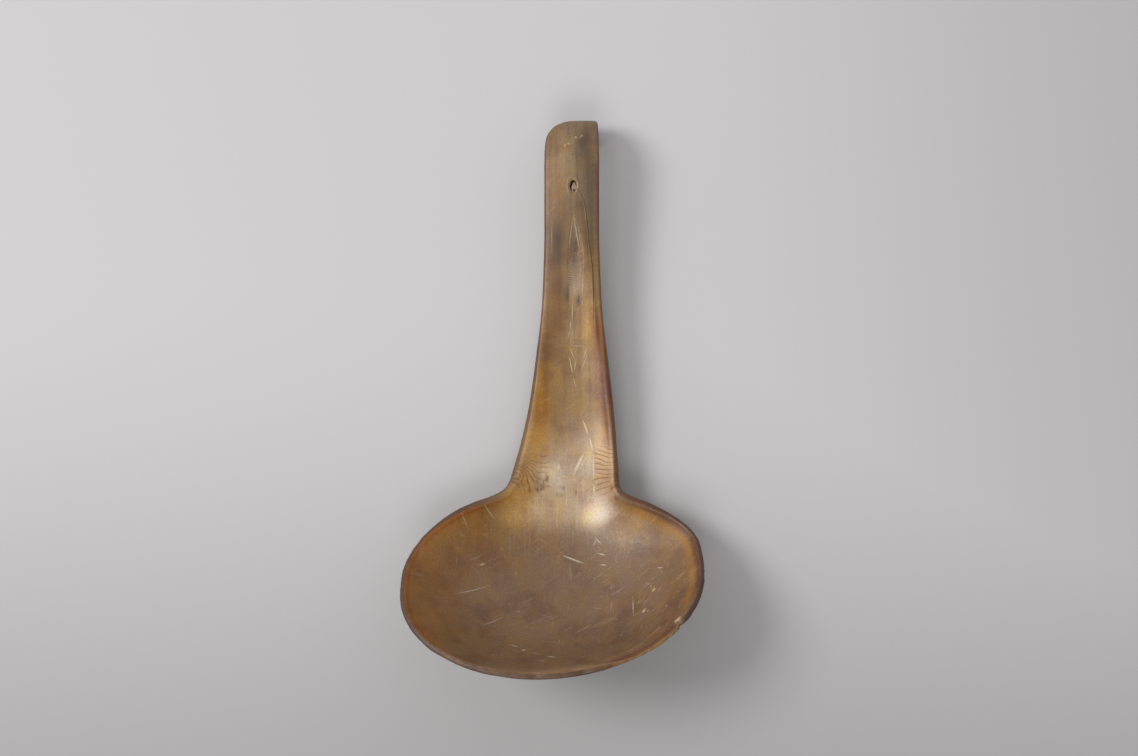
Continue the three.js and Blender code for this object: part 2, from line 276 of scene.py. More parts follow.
BAND_WANDER = (0.25, 0.12, 0.1, 0, 6, 3)
SPOT_RAGGED = (0.6, 1.1, 1.1, 0, 16, 3)
CHIP_RAGGED = (0.5, 1.3, 1.3, 0, 8, 3)
UNDER_MOTTLED = (0.16, 1 / 9, 1 / 40, 0, 2, 3)

# Paints of the horn: red, green and blue as the eye sees them, from 0 to 255, and strength
BOWL_PAINT = (126, 98, 73)
# On the handle, the pale paint of the neck is partly paler worn horn and partly painted sheen.
HANDLE_PAINTS = (
    ((150, 118, 74, 1), (48, 70, FAR, FAR + 1)),
    ((176, 150, 120, 0.9), (29, 38, 54, 74)),
    ((131, 106, 75, 1), (128, 150, FAR, FAR + 1)),
)
UNDER_PAINT = (138, 106, 68, 0.6)
LIP_YELLOW = (150, 118, 66, 0.8)
LIP_MAUVE = (68, 50, 43, 0.85)
LIP_BROWN = (92, 56, 32, 0.75)
LIP_UNDER = (96, 70, 46, 0.8)
LIP_PALE = (172, 132, 92, 0.7)
HANDLE_LEFT_EDGE = (82, 56, 42, 0.8)
# The handle's right cut edge is darker partly as painted shade, on the side turned away from the lamp.
HANDLE_RIGHT_EDGE = (104, 62, 32, 0.9)
# Painted shade in the crack's groove
CRACK_SHADE = (58, 40, 26, 0.85)
CRACK_PALE = (196, 162, 120, 0.4)
LENS_PALE = (196, 162, 120, 0.22)
HOLE_RIM = (196, 162, 120, 0.8)
HOLE_BROWN = (96, 68, 42, 0.85)
SPOT_DARK = (104, 64, 30, 0.7)
CHIP_WHITE = (214, 190, 160, 0.85)

# Where the paints lie, on the sheet, round the bowl in degrees, or down the edge. Two numbers: from none
# to full. Four: the same, and then back to none.
UNDER_FADE_ALONG = (40, 90)
BOWL_BANDS_END = (30, 42)
LEFT_BANDS_TURN = (25, 70)
RIGHT_BANDS_TURN = (62, 80)
FRONT_BANDS_MIDDLE = -10
FRONT_BANDS_TURN = (40, 70)
HANDLE_BANDS_START = (44, 56)
HANDLE_BANDS_ALONG = (50, 66, 98, 112)
LIP_DOWN = (0.08, 0.28)
LIP_BOWL_END = (30, 44)
LIP_BROWN_ALONG = (-16, 6)
LIP_YELLOW_TURN = (14, 26, 57, 62)
LIP_FRONT_MIDDLE = -6
LIP_FRONT_TURN = (30, 52)
LIP_PALE_DOWN = (0, 0.06)
HANDLE_EDGE_DOWN = (0.12, 0.4)
CRACK_PAINT_ALONG = (101, 108)
LENS_PAINT_ALONG = (100, 108)
LENS_PAINT_FROM_HOLE = 9
HOLE_RIM_RIGHT = (0.4, 1.6)
CHIP_EDGE = (0.7, 1.2)

# Bands along the edge: stretch, from and to in distance from the edge, reach beyond that, paint. The gold and
# orange bands are partly the horn's colour and partly painted glow of light through the thin rim. The brown
# ones on the right are partly painted shade on the side turned away from the lamp.
RIM_BANDS_WITH_PAINTED_LIGHT = (
    ("left", 0, 1.2, 3.2, 160, 112, 48, 0.8),
    ("left", 0.7, 0.7, 0.75, 150, 84, 34, 0.75),
    ("right", 3.2, 3.2, 1.9, 160, 112, 48, 0.75),
    ("right", 0, 0, 1.7, 92, 56, 32, 0.85),
    ("front", 0.7, 0.7, 0.75, 150, 84, 34, 0.35),
    ("handle", 1, 1, 1.5, 150, 84, 34, 0.7),
    ("handle", 0, 0, 0.9, 92, 56, 32, 0.9),
)

# Bands down the flaked bevel: start and full, middle, reach, paint
BEVEL_BANDS = (
    (0.02, 0.2, 0, FAR, 124, 92, 70, 0.8),
    (0, 0.03, 0.05, 0.08, 158, 128, 96, 0.7),
    (-1, 0, 0.74, 0.24, 104, 66, 38, 0.9),
    (0.86, 0.96, 0, FAR, 150, 118, 66, 0.8),
)

# Other bands as place and reach
LIP_PALE_BAND = (0.12, 0.12)
CRACK_PALE_OFFSET = 0.42
CRACK_PALE_REACH = 0.2
CRACK_SHADE_REACH = 0.16
HOLE_RIM_BAND = (0.28, 0.26)
LENS_EDGE_BAND = (0.5, 0.3)
HOLE_RIM_WHOLE = 0.55
HOLE_RIM_LEFT_SHARE = 0.35
SPOT_SOFTNESS = 0.85

# Soft patches on the upper face: x, s, reach across, reach along, paint. Most are the horn's own uneven tone.
# The whitish ones on the neck are painted highlights and sheen. The pale gold ones on the bowl's left are
# partly
# painted light: glow through the thin wall, and light on the wall turned away from the lamp.
PATCHES_AND_PAINTED_LIGHT = (
    (-52, 16, 15, 26, 146, 101, 50, 0.85), (-37, 30, 14, 9, 150, 110, 48, 0.85),
    (-46, -16, 12, 14, 132, 99, 62, 0.7), (41, -5, 11, 26, 122, 92, 62, 0.85),
    (30, -22, 14, 12, 120, 90, 64, 0.6), (-8, -37, 30, 4.5, 172, 138, 106, 0.7),
    (12, -18, 16, 10, 102, 79, 58, 0.7), (-8, -19, 14, 8, 110, 85, 62, 0.6),
    (-50, -12, 6, 14, 160, 114, 62, 0.8), (36, 22, 9, 8, 138, 104, 60, 0.7),
    (22, 31, 8, 5, 178, 144, 100, 0.8), (15, 22, 6, 5, 126, 100, 70, 0.6),
    (29, -27, 8, 6, 108, 76, 48, 0.6), (-20, 37, 7, 5, 232, 186, 104, 0.9),
    (-13, 36, 5, 4, 220, 194, 150, 0.7), (-16, 46, 4, 9, 216, 170, 100, 0.9),
    (4.4, 45, 3, 9, 184, 162, 134, 0.7), (-6, 46, 3, 4, 224, 210, 190, 0.7),
    (6.4, 50, 1.5, 5, 216, 202, 184, 0.6), (-11, 42.5, 4, 2.6, 136, 106, 78, 0.4),
    (-30, 10, 10, 10, 140, 110, 86, 0.6), (-9.5, 47, 3.6, 8, 222, 196, 166, 0.8),
    (-2, 35, 8, 4, 190, 162, 128, 0.6), (12, 48, 4, 12, 186, 152, 116, 0.9),
    (9, 35, 5, 3.6, 240, 222, 202, 0.85), (10.6, 34, 5, 1.8, 246, 230, 208, 0.75),
    (-13, 58, 4, 8, 200, 154, 86, 0.9), (-2, 60, 5, 5, 150, 118, 82, 0.5),
    (-1, 70, 4, 8, 142, 112, 76, 0.6), (-6, 68, 2.5, 8, 146, 106, 58, 0.6),
    (11, 57, 3, 7, 214, 180, 142, 0.9), (-11, 70, 3, 15, 182, 126, 38, 0.9),
    (-9, 92, 2.4, 16, 136, 98, 54, 0.8), (4.6, 86, 3.4, 7, 172, 142, 102, 0.7),
    (6, 103, 3.4, 9, 206, 170, 110, 0.9), (0.5, 98, 2.6, 6, 166, 138, 104, 0.6),
    (1.5, 114, 3, 5, 180, 158, 134, 0.85), (1.5, 121, 2.6, 5, 164, 144, 120, 0.8),
    (-2, 111, 1.3, 4, 88, 62, 54, 0.85), (2.5, 109.5, 1.1, 2.6, 88, 62, 54, 0.85),
    (-5.2, 132, 4, 13, 68, 36, 6, 0.98), (-5.6, 113, 3, 9, 104, 68, 32, 0.92),
    (-5.4, 102, 3, 6, 118, 78, 40, 0.85), (0.6, 129, 1.7, 6, 82, 66, 56, 0.85),
    (6.6, 150, 3.2, 26, 113, 93, 76, 0.9), (1.9, 160, 1.2, 9, 106, 92, 76, 0.7),
    (6.2, 134, 2.4, 6, 108, 88, 66, 0.6), (-5.5, 156, 3.4, 13, 140, 106, 58, 0.85),
    (3.6, 166, 2, 5, 82, 70, 62, 0.8), (-2.2, 165, 3.4, 8, 160, 136, 104, 0.8),
    (-5.4, 148, 2.4, 9, 142, 102, 48, 0.75), (2.6, 140, 1.8, 7, 110, 86, 62, 0.7),
)

# Small dark spots along the fold of the neck: x, s, radius
SPOTS = (
    (-9.1, 44.6, 1), (-10.8, 42.4, 1.2), (-12.6, 40.6, 0.8), (-15.3, 40.1, 0.8), (-5.4, 39.7, 0.6),
    (-3.1, 41.5, 0.8), (-3.7, 39.5, 0.6), (1.6, 40.3, 0.7), (14.6, 40.6, 0.7), (16.3, 36.8, 0.8),
)

# Small pale chips: x, s, half length, half width, turn in degrees
CHIPS = (
    (2.4, -37.2, 1.6, 0.45, 4), (14.8, -36.6, 1.1, 0.4, 12), (-12.4, -37.4, 1.4, 0.4, -4),
    (37.4, -19.4, 1.3, 0.7, 50), (-1.3, 166.8, 0.5, 0.25, 20), (-2.3, 166, 0.45, 0.25, -30),
    (1.2, 169.3, 0.4, 0.25, 10), (3.1, 169.8, 0.45, 0.25, 0), (-33.2, 19.9, 0.7, 0.4, 30),
    (-17.4, -14.8, 0.8, 0.3, 15), (26, -4, 0.6, 0.3, 70), (29.4, 3.4, 0.5, 0.3, 40),
)

# Scratches on the upper face: x and s of both ends, half width, strength
SCRATCHES = (
    (-43.7, 6.7, -28.7, 14.3, 0.2, 0.4), (-33, -4.1, -24.2, 1.9, 0.2, 0.45),
    (-4.3, 24.7, 5.3, 21.1, 0.26, 0.8), (9, 24, 12.7, 22.7, 0.22, 0.65),
    (9.8, 20.2, 13.4, 19.4, 0.2, 0.6), (8.6, 28.2, 11.2, 26, 0.2, 0.6),
    (7.4, 25.6, 9.4, 28.2, 0.2, 0.45), (22.1, 4.2, 22.1, -5.6, 0.2, 0.5),
    (30.6, 12.1, 33.4, 10.6, 0.2, 0.6), (-22.5, -11.6, -18.6, -13.2, 0.25, 0.45),
    (-9.4, -18.6, -5.2, -20.4, 0.3, 0.5), (-14.8, -16.2, -10.6, -17.6, 0.2, 0.4),
    (-12.6, -21.6, -8.4, -23.4, 0.22, 0.4), (4.6, 53.8, 0.5, 45.3, 0.6, 1),
    (5.4, 52.4, 2.4, 46.4, 0.22, 0.5), (-4.7, 49.4, -4.9, 47, 0.6, 0.9),
    (-7.7, 47.8, -7.3, 45.4, 0.45, 0.8), (-1.2, 56.2, -2.9, 51.4, 0.2, 0.35),
    (3.8, 65.9, 6.4, 59.6, 0.3, 0.9), (6.4, 59.6, 7.9, 53.4, 0.34, 1),
    (7.9, 53.4, 8.1, 42.7, 0.34, 1), (8.1, 42.7, 8.4, 38.6, 0.36, 1),
    (5.8, 39, 11.7, 37.5, 0.22, 0.45), (-32.6, 34.4, -27.8, 31.4, 0.2, 0.5),
    (-40.8, 31.6, -37.4, 27.4, 0.18, 0.35), (-0.4, 102.1, -0.6, 98.3, 0.14, 0.5),
    (-0.6, 98.3, -1.4, 95.5, 0.14, 0.45), (-1.2, 92.6, 1.4, 87, 0.16, 0.5),
    (-1.2, 92.8, 5.4, 92.2, 0.14, 0.35), (5.5, 92.2, 4.4, 88, 0.16, 0.5),
    (6, 90.4, 3.2, 82.8, 0.13, 0.5), (-1.2, 89.5, 0.4, 81.8, 0.18, 0.65),
    (0.4, 81.8, 1.6, 76.5, 0.14, 0.5), (1.6, 88.2, 0.8, 82.9, 0.14, 0.55),
    (0.5, 140.5, 3.1, 126.2, 0.18, 0.45), (0.3, 140.5, -1.1, 127.4, 0.13, 0.35),
    (0.2, 108.7, 0.1, 101, 0.18, 0.55), (3.8, 109.7, 3.8, 106.8, 0.16, 0.5),
    (-7.4, 141, -7.4, 125, 0.14, 0.3),
)

# Small marks: x and s of one end, and turn in radians
SMALL_MARKS = (
    (-14, -31, 0.4), (-11.5, -33, -0.5), (-9, -31.8, 0.3), (-6.4, -33.4, -0.3), (-3.6, -32.4, 0.7),
    (-1.2, -34, -0.2), (1.6, -32.8, 0.5), (4.2, -34.2, 0.1), (-17.5, -30, -0.4), (24, 0, 1.4),
    (27, -6, 1.2), (31, 2, 0.7), (28.6, 8, 0.4), (34, -8, 1.7), (17, -14, 0.5), (-20, 4, 0.5),
)
SMALL_MARK_LENGTH = 1.6
SMALL_MARK_HALF = 0.2
SMALL_MARK_STRENGTH = 0.36
SCRATCH_SOFTNESS = 1.2
SCRATCH_GAIN = 1.5
SCRATCH_LIMIT = 0.7
SCRATCH_BROKEN = (2.2, 3, 0.7, 0.32, 0.6, 0.35, 1)

# Colours in the horn's material
SCRATCH_PALE = (0.70, 0.60, 0.48, 1)
CLOUD_MAUVE = (0.74, 0.64, 0.68, 1)
CLOUD_OLIVE = (1.14, 1.08, 0.72, 1)
MOTTLE_DARK = (0.74, 0.70, 0.68, 1)
FIBRE_DARK = (0.70, 0.62, 0.56, 1)
# Colour of the whitish streaks of painted sheen on the neck
SHEEN_STREAK_PALE = (0.74, 0.66, 0.54, 1)
# Painted shade along the bottoms of the wrinkles and of the scraping marks
FOLD_SHADE = (0.42, 0.31, 0.24, 1)
PIT_DARK = (0.45, 0.36, 0.30, 1)

# Patterns: scale, detail, roughness, and their spread: from, to, and what both ends give
CLOUDS = (0.075, 5, 0.62, 0.44, 0.66, 0, 0.85)
OLIVE = (0.16, 5, 0.65, 0.44, 0.68, 0, 0.85)
OLIVE_PLACE = (40, 7, 0)
MOTTLE = (1.6, 5, 0.75)
MOTTLE_SPREAD = (0.38, 0.62, 0.7, 0)
FIBRES = (0.42, 6, 0.68)
FIBRES_STRETCH = (1, 0.045, 1)
FIBRES_SPREAD = (0.38, 0.56, 1, 0)
# Whitish streaks of painted sheen on the neck
SHEEN_STREAKS = (0.8, 5, 0.75, 0.5, 0.74)
SHEEN_STREAKS_STRETCH = (1, 0.12, 1)
SHEEN_STREAKS_STRENGTH = 0.45
FOLD_LINE_SPREAD = (0.03, 0.2, 1, 0)
FOLD_STRENGTH = 0.62
GLOSS = (0.7, 4, 0.6, 0.3, 0.7, -0.07, 0.07)

# Hairlines: degrees, place in the pattern, scale, and where a line starts and is full
HAIRLINES = (
    (27, 3, 1.5, 0.60, 0.70),
    (-20, 17, 1.7, 0.62, 0.72),
    (84, 31, 1.6, 0.62, 0.72),
)
HAIR_STRETCH = (0.07, 1, 1)
HAIR_NOISE = (2, 0.5)
HAIR_PATCHES = (0.13, 2, 0.5, 0.45, 0.62)
HAIR_STRENGTH = 0.22

# Specks: cells a millimetre, radius, share of the cells that have one
COARSE_GRAINS = (0.5, 0.24, 0.35)
FINE_GRAINS = (1.1, 0.13, 0.3)
GRAIN_STRENGTH = 0.5
PITS = (0.32, 0.22, 0.4)
PITS_PLACE = (5.3, 2.1, 0)
PIT_STRENGTH = 0.6
SPECK_CORE = 0.4

# Fine relief in the material, in metres
FOLD_RELIEF = -0.7
FIBRE_RELIEF = 0.4
MOTTLE_RELIEF = 0.4
RELIEF_STRENGTH = 0.6
RELIEF_HEIGHT = 0.0003

# Wear: how fibrous, scratched and rough the horn is
HANDLE_WEAR_ALONG = (56, 84)
GRIP_WEAR_ALONG = (120, 140)
SHEEN_BAND = (43, 13)
SHEEN_SIDE = (0.5, 0.95)
FIBROUS_BOWL = 0.06
FIBROUS_HANDLE = 0.5
SCRATCHED_BOWL = 0.5
SCRATCHED_X = 24
SCRATCHED_S = 6
SCRATCHED_STRETCH = 1.1
SCRATCHED_REACH = 16
SCRATCHED_RIGHT = 0.5
SCRATCHED_NECK = 0.4
SCRATCHED_HANDLE_LOSS = 0.7
SCRATCHED_LAMINA = 0.5
ROUGH = 0.48
ROUGH_NECK_LOSS = 0.17
ROUGH_HANDLE_LOSS = 0.06
ROUGH_GRIP = 0.03

# Wood of the peg
PEG_PALE = (0.40, 0.27, 0.15, 1)
PEG_DARK = (0.17, 0.10, 0.05, 1)
PEG_GRAIN = (2600, 3, 0.6)
PEG_STRETCH = (1, 1, 0.25)
PEG_COLOUR_SPREAD = (0.38, 0.62)
PEG_ROUGH_SPREAD = (0.3, 0.7, 0.6, 0.8)


def clamp(value, low=0.0, high=1.0):
    return np.clip(value, low, high)


def ease(value, low, high):
    k = clamp((value - low) / (high - low))
    return k * k * (3 - 2 * k)


def window(value, span):
    """Rises between the first two numbers of the span and falls between the last two."""
    return ease(value, *span[:2]) * (1 - ease(value, *span[2:]))


def mix(a, b, k):
    return a + (b - a) * k


def hook_rise():
    steps = 400
    slope = HOOK_TURN * ((np.arange(steps) + 0.5) / steps) ** HOOK_TIGHTENING
    return np.maximum(0, np.cos(slope)).sum() * HOOK_ARC / steps


HOOK_START = NECK_PLACE + HANDLE_LENGTH - hook_rise()
RIBBON_END = HOOK_START + HOOK_ARC


def ribbon_slope(s):
    up = NECK_BEND * ease(s - NECK_PLACE, *NECK_BEND_SPAN)
    return up - HOOK_TURN * np.maximum(0, (s - HOOK_START) / HOOK_ARC) ** HOOK_TIGHTENING


def make_ribbon():
    step = 0.1
    s = np.arange(-BOWL_FRONT_REACH - RIBBON_LEAD, RIBBON_END + RIBBON_SPARE, step)
    slope = ribbon_slope(s[:-1] + step / 2)
    y = s[0] + np.concatenate([[0], np.cumsum(np.cos(slope) * step)])
    z = np.concatenate([[0], np.cumsum(np.sin(slope) * step)])
    return s, y, z


RIBBON = make_ribbon()


def hook_share(s):
    return clamp((s - HOOK_START) / HOOK_ARC)


def hook_corner(s):
    share = hook_share(s)
    cut = clamp((share - CORNER_FROM) / (CORNER_TO - CORNER_FROM)) ** 2
    left = (TIP_LEFT_EDGE + GRIP_HALF) * ease(cut, 0, 1)
    right = (TIP_RIGHT_EDGE - GRIP_HALF) * ease(share, CORNER_TO, 1)
    return left, right


def sharp_width(s):
    along = np.maximum(s, 0)
    oval = np.maximum(0, 1 - (along / BOWL_BACK_REACH) ** BOWL_BACK_FULLNESS)
    flare = clamp(1 - (along - NECK_PLACE) / FLARE_LENGTH) ** FLARE_POWER
    below = FILLET * clamp(1 - (along - FILLET_FROM) / FILLET)
    fillet = FILLET - np.sqrt(FILLET**2 - below**2)
    handle = mix(GRIP_HALF, NECK_HALF, flare) + fillet
    return np.maximum(BOWL_HALF * np.sqrt(oval), handle)


def half_width(s):
    """The sharp width, averaged over a short stretch near the neck, so that the shoulders are round."""
    along = np.maximum(s, 0)
    reach = SHOULDER_ROUND * window(along - NECK_PLACE, SHOULDER_SPAN)
    samples = 6
    total = 0
    weights = 0
    for sample in range(-samples, samples + 1):
        weight = 1 + cos(pi * sample / (samples + 1))
        total = total + weight * sharp_width(along + reach * sample / samples)
        weights += weight
    left, right = hook_corner(along)
    into_tip = clamp((along - RIBBON_END + TIP_ROUND_LENGTH) / TIP_ROUND_LENGTH)
    return (total / weights + (right - left) / 2) * np.sqrt(1 - TIP_ROUNDNESS * into_tip**2)


def centre_line(s):
    along = np.maximum(s, 0)
    left, right = hook_corner(along)
    gone = clamp((along - AXIS_SHIFT_FROM) / AXIS_SHIFT_LENGTH)
    return BOWL_OFFSET * (1 - gone) ** 3 * (1 + 3 * gone) + (left + right) / 2


HOLE_CENTRE = float(centre_line(np.array(HOLE_PLACE))) + HOLE_OFFSET


def middle_depth(s):
    dish = (BOWL_DEPTH - TROUGH_DEPTH) * (1 - clamp(s / BOWL_DISH_LENGTH) ** 2) ** 2
    return dish + TROUGH_DEPTH * (1 - ease(s - NECK_PLACE, *TROUGH_SPAN))


def edge_share(x, s):
    across = np.abs(x - centre_line(s)) / half_width(s)
    return np.where(s < 0, np.hypot(across, s / BOWL_FRONT_REACH), across)


def crown(x, s):
    full = CROWN_HEIGHT * ease(s - NECK_PLACE, *CROWN_SPAN)
    full = full * (1 - ease(hook_share(s), 0, CORNER_TO))
    half = half_width(s)
    ridge = mix(*RIDGE_OFFSETS, ease(s - NECK_PLACE, *RIDGE_SPAN)) * half / GRIP_HALF
    from_ridge = x - centre_line(s) - ridge
    reach = np.where(from_ridge < 0, half + ridge, half - ridge)
    return full * (1 - clamp(np.abs(from_ridge) / reach) ** CROWN_ROUNDNESS)


def thickness(x, s):
    rho = clamp(edge_share(x, s))
    shares = (
        ease(s - NECK_PLACE, *THICKEN_SPAN),
        ease(s - NECK_PLACE, *GRIP_SPAN),
        ease(hook_share(s), 0, 1),
    )
    middle, edge = THICKNESSES[0]
    for share, (next_middle, next_edge) in zip(shares, THICKNESSES[1:]):
        middle = mix(middle, next_middle, share)
        edge = mix(edge, next_edge, share)
    return mix(middle, edge, rho**2)


def hollow_point(x, s):
    skewed = s + BOWL_SKEW * (x - BOWL_OFFSET) * (1 - ease(s, *SKEW_FADE))
    y = np.interp(skewed, RIBBON[0], RIBBON[1])
    z = np.interp(skewed, RIBBON[0], RIBBON[2])
    slope = ribbon_slope(skewed)
    depth = middle_depth(s) * (1 - edge_share(x, s) ** BOWL_ROUNDNESS)
    return np.stack([x + 0 * y, y + depth * np.sin(slope), z - depth * np.cos(slope)], axis=-1)


def face_normal(x, s):
    reach = 0.05
    across_way = hollow_point(x + reach, s) - hollow_point(x - reach, s)
    along_way = hollow_point(x, s + reach) - hollow_point(x, s - reach)
    normal = np.cross(across_way, along_way)
    return normal / np.linalg.norm(normal, axis=-1, keepdims=True)


TABLES = np.random.default_rng(RANDOM_SEED).random((TABLE_COUNT, TABLE_SIZE, TABLE_SIZE)) * 2 - 1


def field(u, v, seed):
    """Smooth random values from -1 to 1, about one unit from hill to hollow."""
    table = TABLES[seed % len(TABLES)]
    u0 = np.floor(u).astype(int)
    v0 = np.floor(v).astype(int)
    ku = ease(u - u0, 0, 1)
    kv = ease(v - v0, 0, 1)

    def corner(i, j):
        return table[(u0 + i) % TABLE_SIZE, (v0 + j) % TABLE_SIZE]

    low = mix(corner(0, 0), corner(1, 0), ku)
    high = mix(corner(0, 1), corner(1, 1), ku)
    return mix(low, high, kv)


def rough_field(u, v, seed, layers):
    """Layers of the field, each half as high and twice as fine as the one before."""
    total = 0
    for layer in range(layers):
        total = total + field(u * 2**layer, v * 2**layer, seed + layer) * 0.5**layer
    return total


def uneven(x, s, kind):
    height, across, along, start, seed, layers = kind
    return height * rough_field(x * across + start, s * along, seed, layers)


def line_distance(x, s, points):
    """Distance from each place to a line through the points."""
    best = np.full(np.shape(x), np.inf)
    for (x0, s0), (x1, s1) in zip(points, points[1:]):
        dx, ds = x1 - x0, s1 - s0
        k = clamp(((x - x0) * dx + (s - s0) * ds) / (dx * dx + ds * ds))
        best = np.minimum(best, np.hypot(x - x0 - k * dx, s - s0 - k * ds))
    return best


def bump(distance, width):
    return np.exp(-((distance / width) ** 2))


def band(distance, place_and_reach):
    place, reach = place_and_reach
    return bump(distance - place, reach)


def bearing(x, s):
    """Angle round the bowl in degrees: 0 at the front, positive to the right."""
    reach = np.where(s < 0, BOWL_FRONT_REACH, BOWL_BACK_REACH)
    return np.degrees(np.arctan2((x - BOWL_OFFSET) / BOWL_HALF, -s / reach))


def lens_share(x, s):
    """1 where the top layer of the horn has split off."""
    along = clamp((LENS_TOP - s) / (LENS_TOP - LENS_END))
    swell = np.sin(pi * along)
    half = LENS_HALF * swell**LENS_BLUNTNESS + LENS_TIP_HALF
    middle = LENS_MIDDLE + LENS_BOW * swell + uneven(x, s, LENS_WANDER)
    inside = half - np.abs(x - middle)
    return ease(inside, -LENS_EDGE, LENS_EDGE) * (along > 0) * (along < 1)


def fold_phases(x, s):
    """Running numbers across three sets of fine lines: a whole number is the bottom of a line."""
    lean = mix(*RIGHT_FOLD_LEANS, clamp((s - RIGHT_FOLD_LEAN_FROM) / RIGHT_FOLD_LEAN_LENGTH))
    right = s - lean * (x - RIGHT_FOLD_START) + uneven(x, s, RIGHT_FOLD_WANDER)
    left = left_fold_angle(x, s) * LEFT_FOLD_RAYS + uneven(x, s, LEFT_FOLD_WANDER)
    chatter = s + CHATTER_LEAN * x + uneven(x, s, CHATTER_WANDER)
    return np.stack([right / RIGHT_FOLD_SPACING, left, chatter / CHATTER_SPACING], 1)


def left_fold_angle(x, s):
    return np.arctan2(LEFT_FOLD_CENTRE[1] - s, x - LEFT_FOLD_CENTRE[0])


def fold_masks(x, s):
    """Where the three sets of fine lines lie."""
    right = ease(x + uneven(x, s, RIGHT_FOLD_RAGGED), *RIGHT_FOLD_INNER) * (1 - ease(x, *RIGHT_FOLD_OUTER))
    right = right * window(s, RIGHT_FOLD_ALONG) * (RIGHT_FOLD_SHARE + uneven(x, s, RIGHT_FOLD_PATCHY))
    reach = np.hypot(x - LEFT_FOLD_CENTRE[0], LEFT_FOLD_CENTRE[1] - s)
    left = window(reach, LEFT_FOLD_REACH) * ease(left_fold_angle(x, s), *LEFT_FOLD_TURN)
    left = left * (LEFT_FOLD_SHARE + uneven(x, s, LEFT_FOLD_PATCHY))
    chatter = bump(x - CHATTER_PLACE[0], CHATTER_REACH[0])
    chatter = chatter * bump(s - CHATTER_PLACE[1], CHATTER_REACH[1])
    return clamp(np.stack([right, left, chatter], 1))


def fold_depth(x, s):
    """Depth of the wrinkles on both sides of the neck."""
    phases = fold_phases(x, s)
    away = np.abs(phases - np.round(phases))
    depths = fold_masks(x, s) * (1 - ease(away, 0, FOLD_VALLEY))
    return FOLD_DEPTH * depths[:, :2].sum(1)


def grip_marks(x, s):
    crack = CRACK_DEPTH * bump(line_distance(x, s, GRIP_CRACK), CRACK_HALF)
    crack = crack * (1 - CRACK_END_LOSS * ease(s, *CRACK_END))
    return -crack - lens_share(x, s) * (LENS_DEPTH - uneven(x, s, LENS_ROUGH))


def neck_ridge(x, s):
    crease = bump(line_distance(x, s, NECK_CREASE), CREASE_HALF)
    return CREASE_HEIGHT * crease * window(s, CREASE_ALONG)


def hole_radius(x, s):
    """1 on the hole's outline, less inside."""
    return np.hypot((x - HOLE_CENTRE) / (HOLE_WIDTH / 2), (s - HOLE_PLACE) / (HOLE_HEIGHT / 2))


def hole_distance(x, s):
    return (hole_radius(x, s) - 1) * HOLE_WIDTH / 2


def hole_lip(x, s):
    out = hole_distance(x, s)
    swell = HOLE_SWELL * bump(out - HOLE_SWELL_PLACE, HOLE_SWELL_REACH)
    drop = HOLE_DROP * bump(np.maximum(out, 0), HOLE_DROP_REACH)
    return swell - drop * (1 + uneven(x, s, HOLE_CHIPPED))


def flake_share(x, s):
    return bump(bearing(x, s) - FLAKE_BEARING, FLAKE_SPREAD) * ease(-s, 0, FLAKE_FADE_IN)


def bevel(x, s):
    """Share of the flaked rim's facet, and how far down it each place lies."""
    turn = bearing(x, s)
    inner = BEVEL_INNER + uneven(turn, 0, BEVEL_WANDER)
    down = clamp((edge_share(x, s) - inner) / (1 - inner))
    return window(turn, BEVEL_TURN) * (s < 0), down


def upper_detail(x, s):
    along, down = bevel(x, s)
    flaked = BEVEL_DROP * down**BEVEL_CURVE - uneven(x, s, BEVEL_CHIPPED) * down
    return (
        crown(x, s)
        - flaked * along
        + uneven(x, s, SAG)
        + uneven(x, s, STREAKS)
        + neck_ridge(x, s)
        - fold_depth(x, s)
        + grip_marks(x, s)
        + hole_lip(x, s)
    )


def lower_detail(x, s):
    drop = HOLE_UNDER_DROP * bump(np.maximum(hole_distance(x, s), 0), HOLE_UNDER_REACH)
    return uneven(x, s, FACETS) + uneven(x, s, SCRAPES) - drop


def rim_pull(x, s):
    """How far the outline moves in at each place near the bowl's rim."""
    turn = bearing(x, s)
    pull = RIM_WEAR + uneven(turn, 0, RIM_WORN)
    pull = pull + window(turn, JAGGED_TURN) * (JAGGED_PULL + uneven(turn, 0, JAGGED))
    for place, half_length, depth in RIM_CHIPS:
        pull = pull + depth * bump((turn - place) * RIM_LENGTH_PER_DEGREE, half_length)
    return np.maximum(pull, 0) * ease(edge_share(x, s), RIM_PULL_FROM, 1) * (1 - ease(s, *RIM_PULL_END))


def crowded(t):
    """Even steps from -1 to 1, moved closer together towards both ends."""
    return t * (1 + EDGE_CROWDING) - EDGE_CROWDING * t**3


def stations():
    """Rows of points behind the bowl's middle, closest where the finest forms are."""
    places = [np.array([0.0])]
    for start, end, steps in STRETCHES:
        stop = RIBBON_END if end is None else end
        places.append(np.linspace(start, stop, steps + 1)[1:])
    return np.concatenate(places)


def sheet_places():
    v = crowded(np.linspace(-1, 1, ACROSS_STEPS + 1))[None, :]
    u = crowded(np.linspace(-1, 0, FRONT_ROWS + 1)[:-1])[:, None]
    s = u * np.sqrt(1 - v**2 / 2) * BOWL_FRONT_REACH
    x = BOWL_OFFSET + v * np.sqrt(1 - u**2 / 2) * BOWL_HALF
    swell = 1 + FLAKE_REACH * flake_share(x, s) * ease(edge_share(x, s), FLAKE_SWELL_SHARE, 1)
    along = stations()[:, None]
    x = np.concatenate([BOWL_OFFSET + (x - BOWL_OFFSET) * swell, centre_line(along) + v * half_width(along)])
    s = np.concatenate([s * swell, along + 0 * v])
    return pull_rim(x, s)


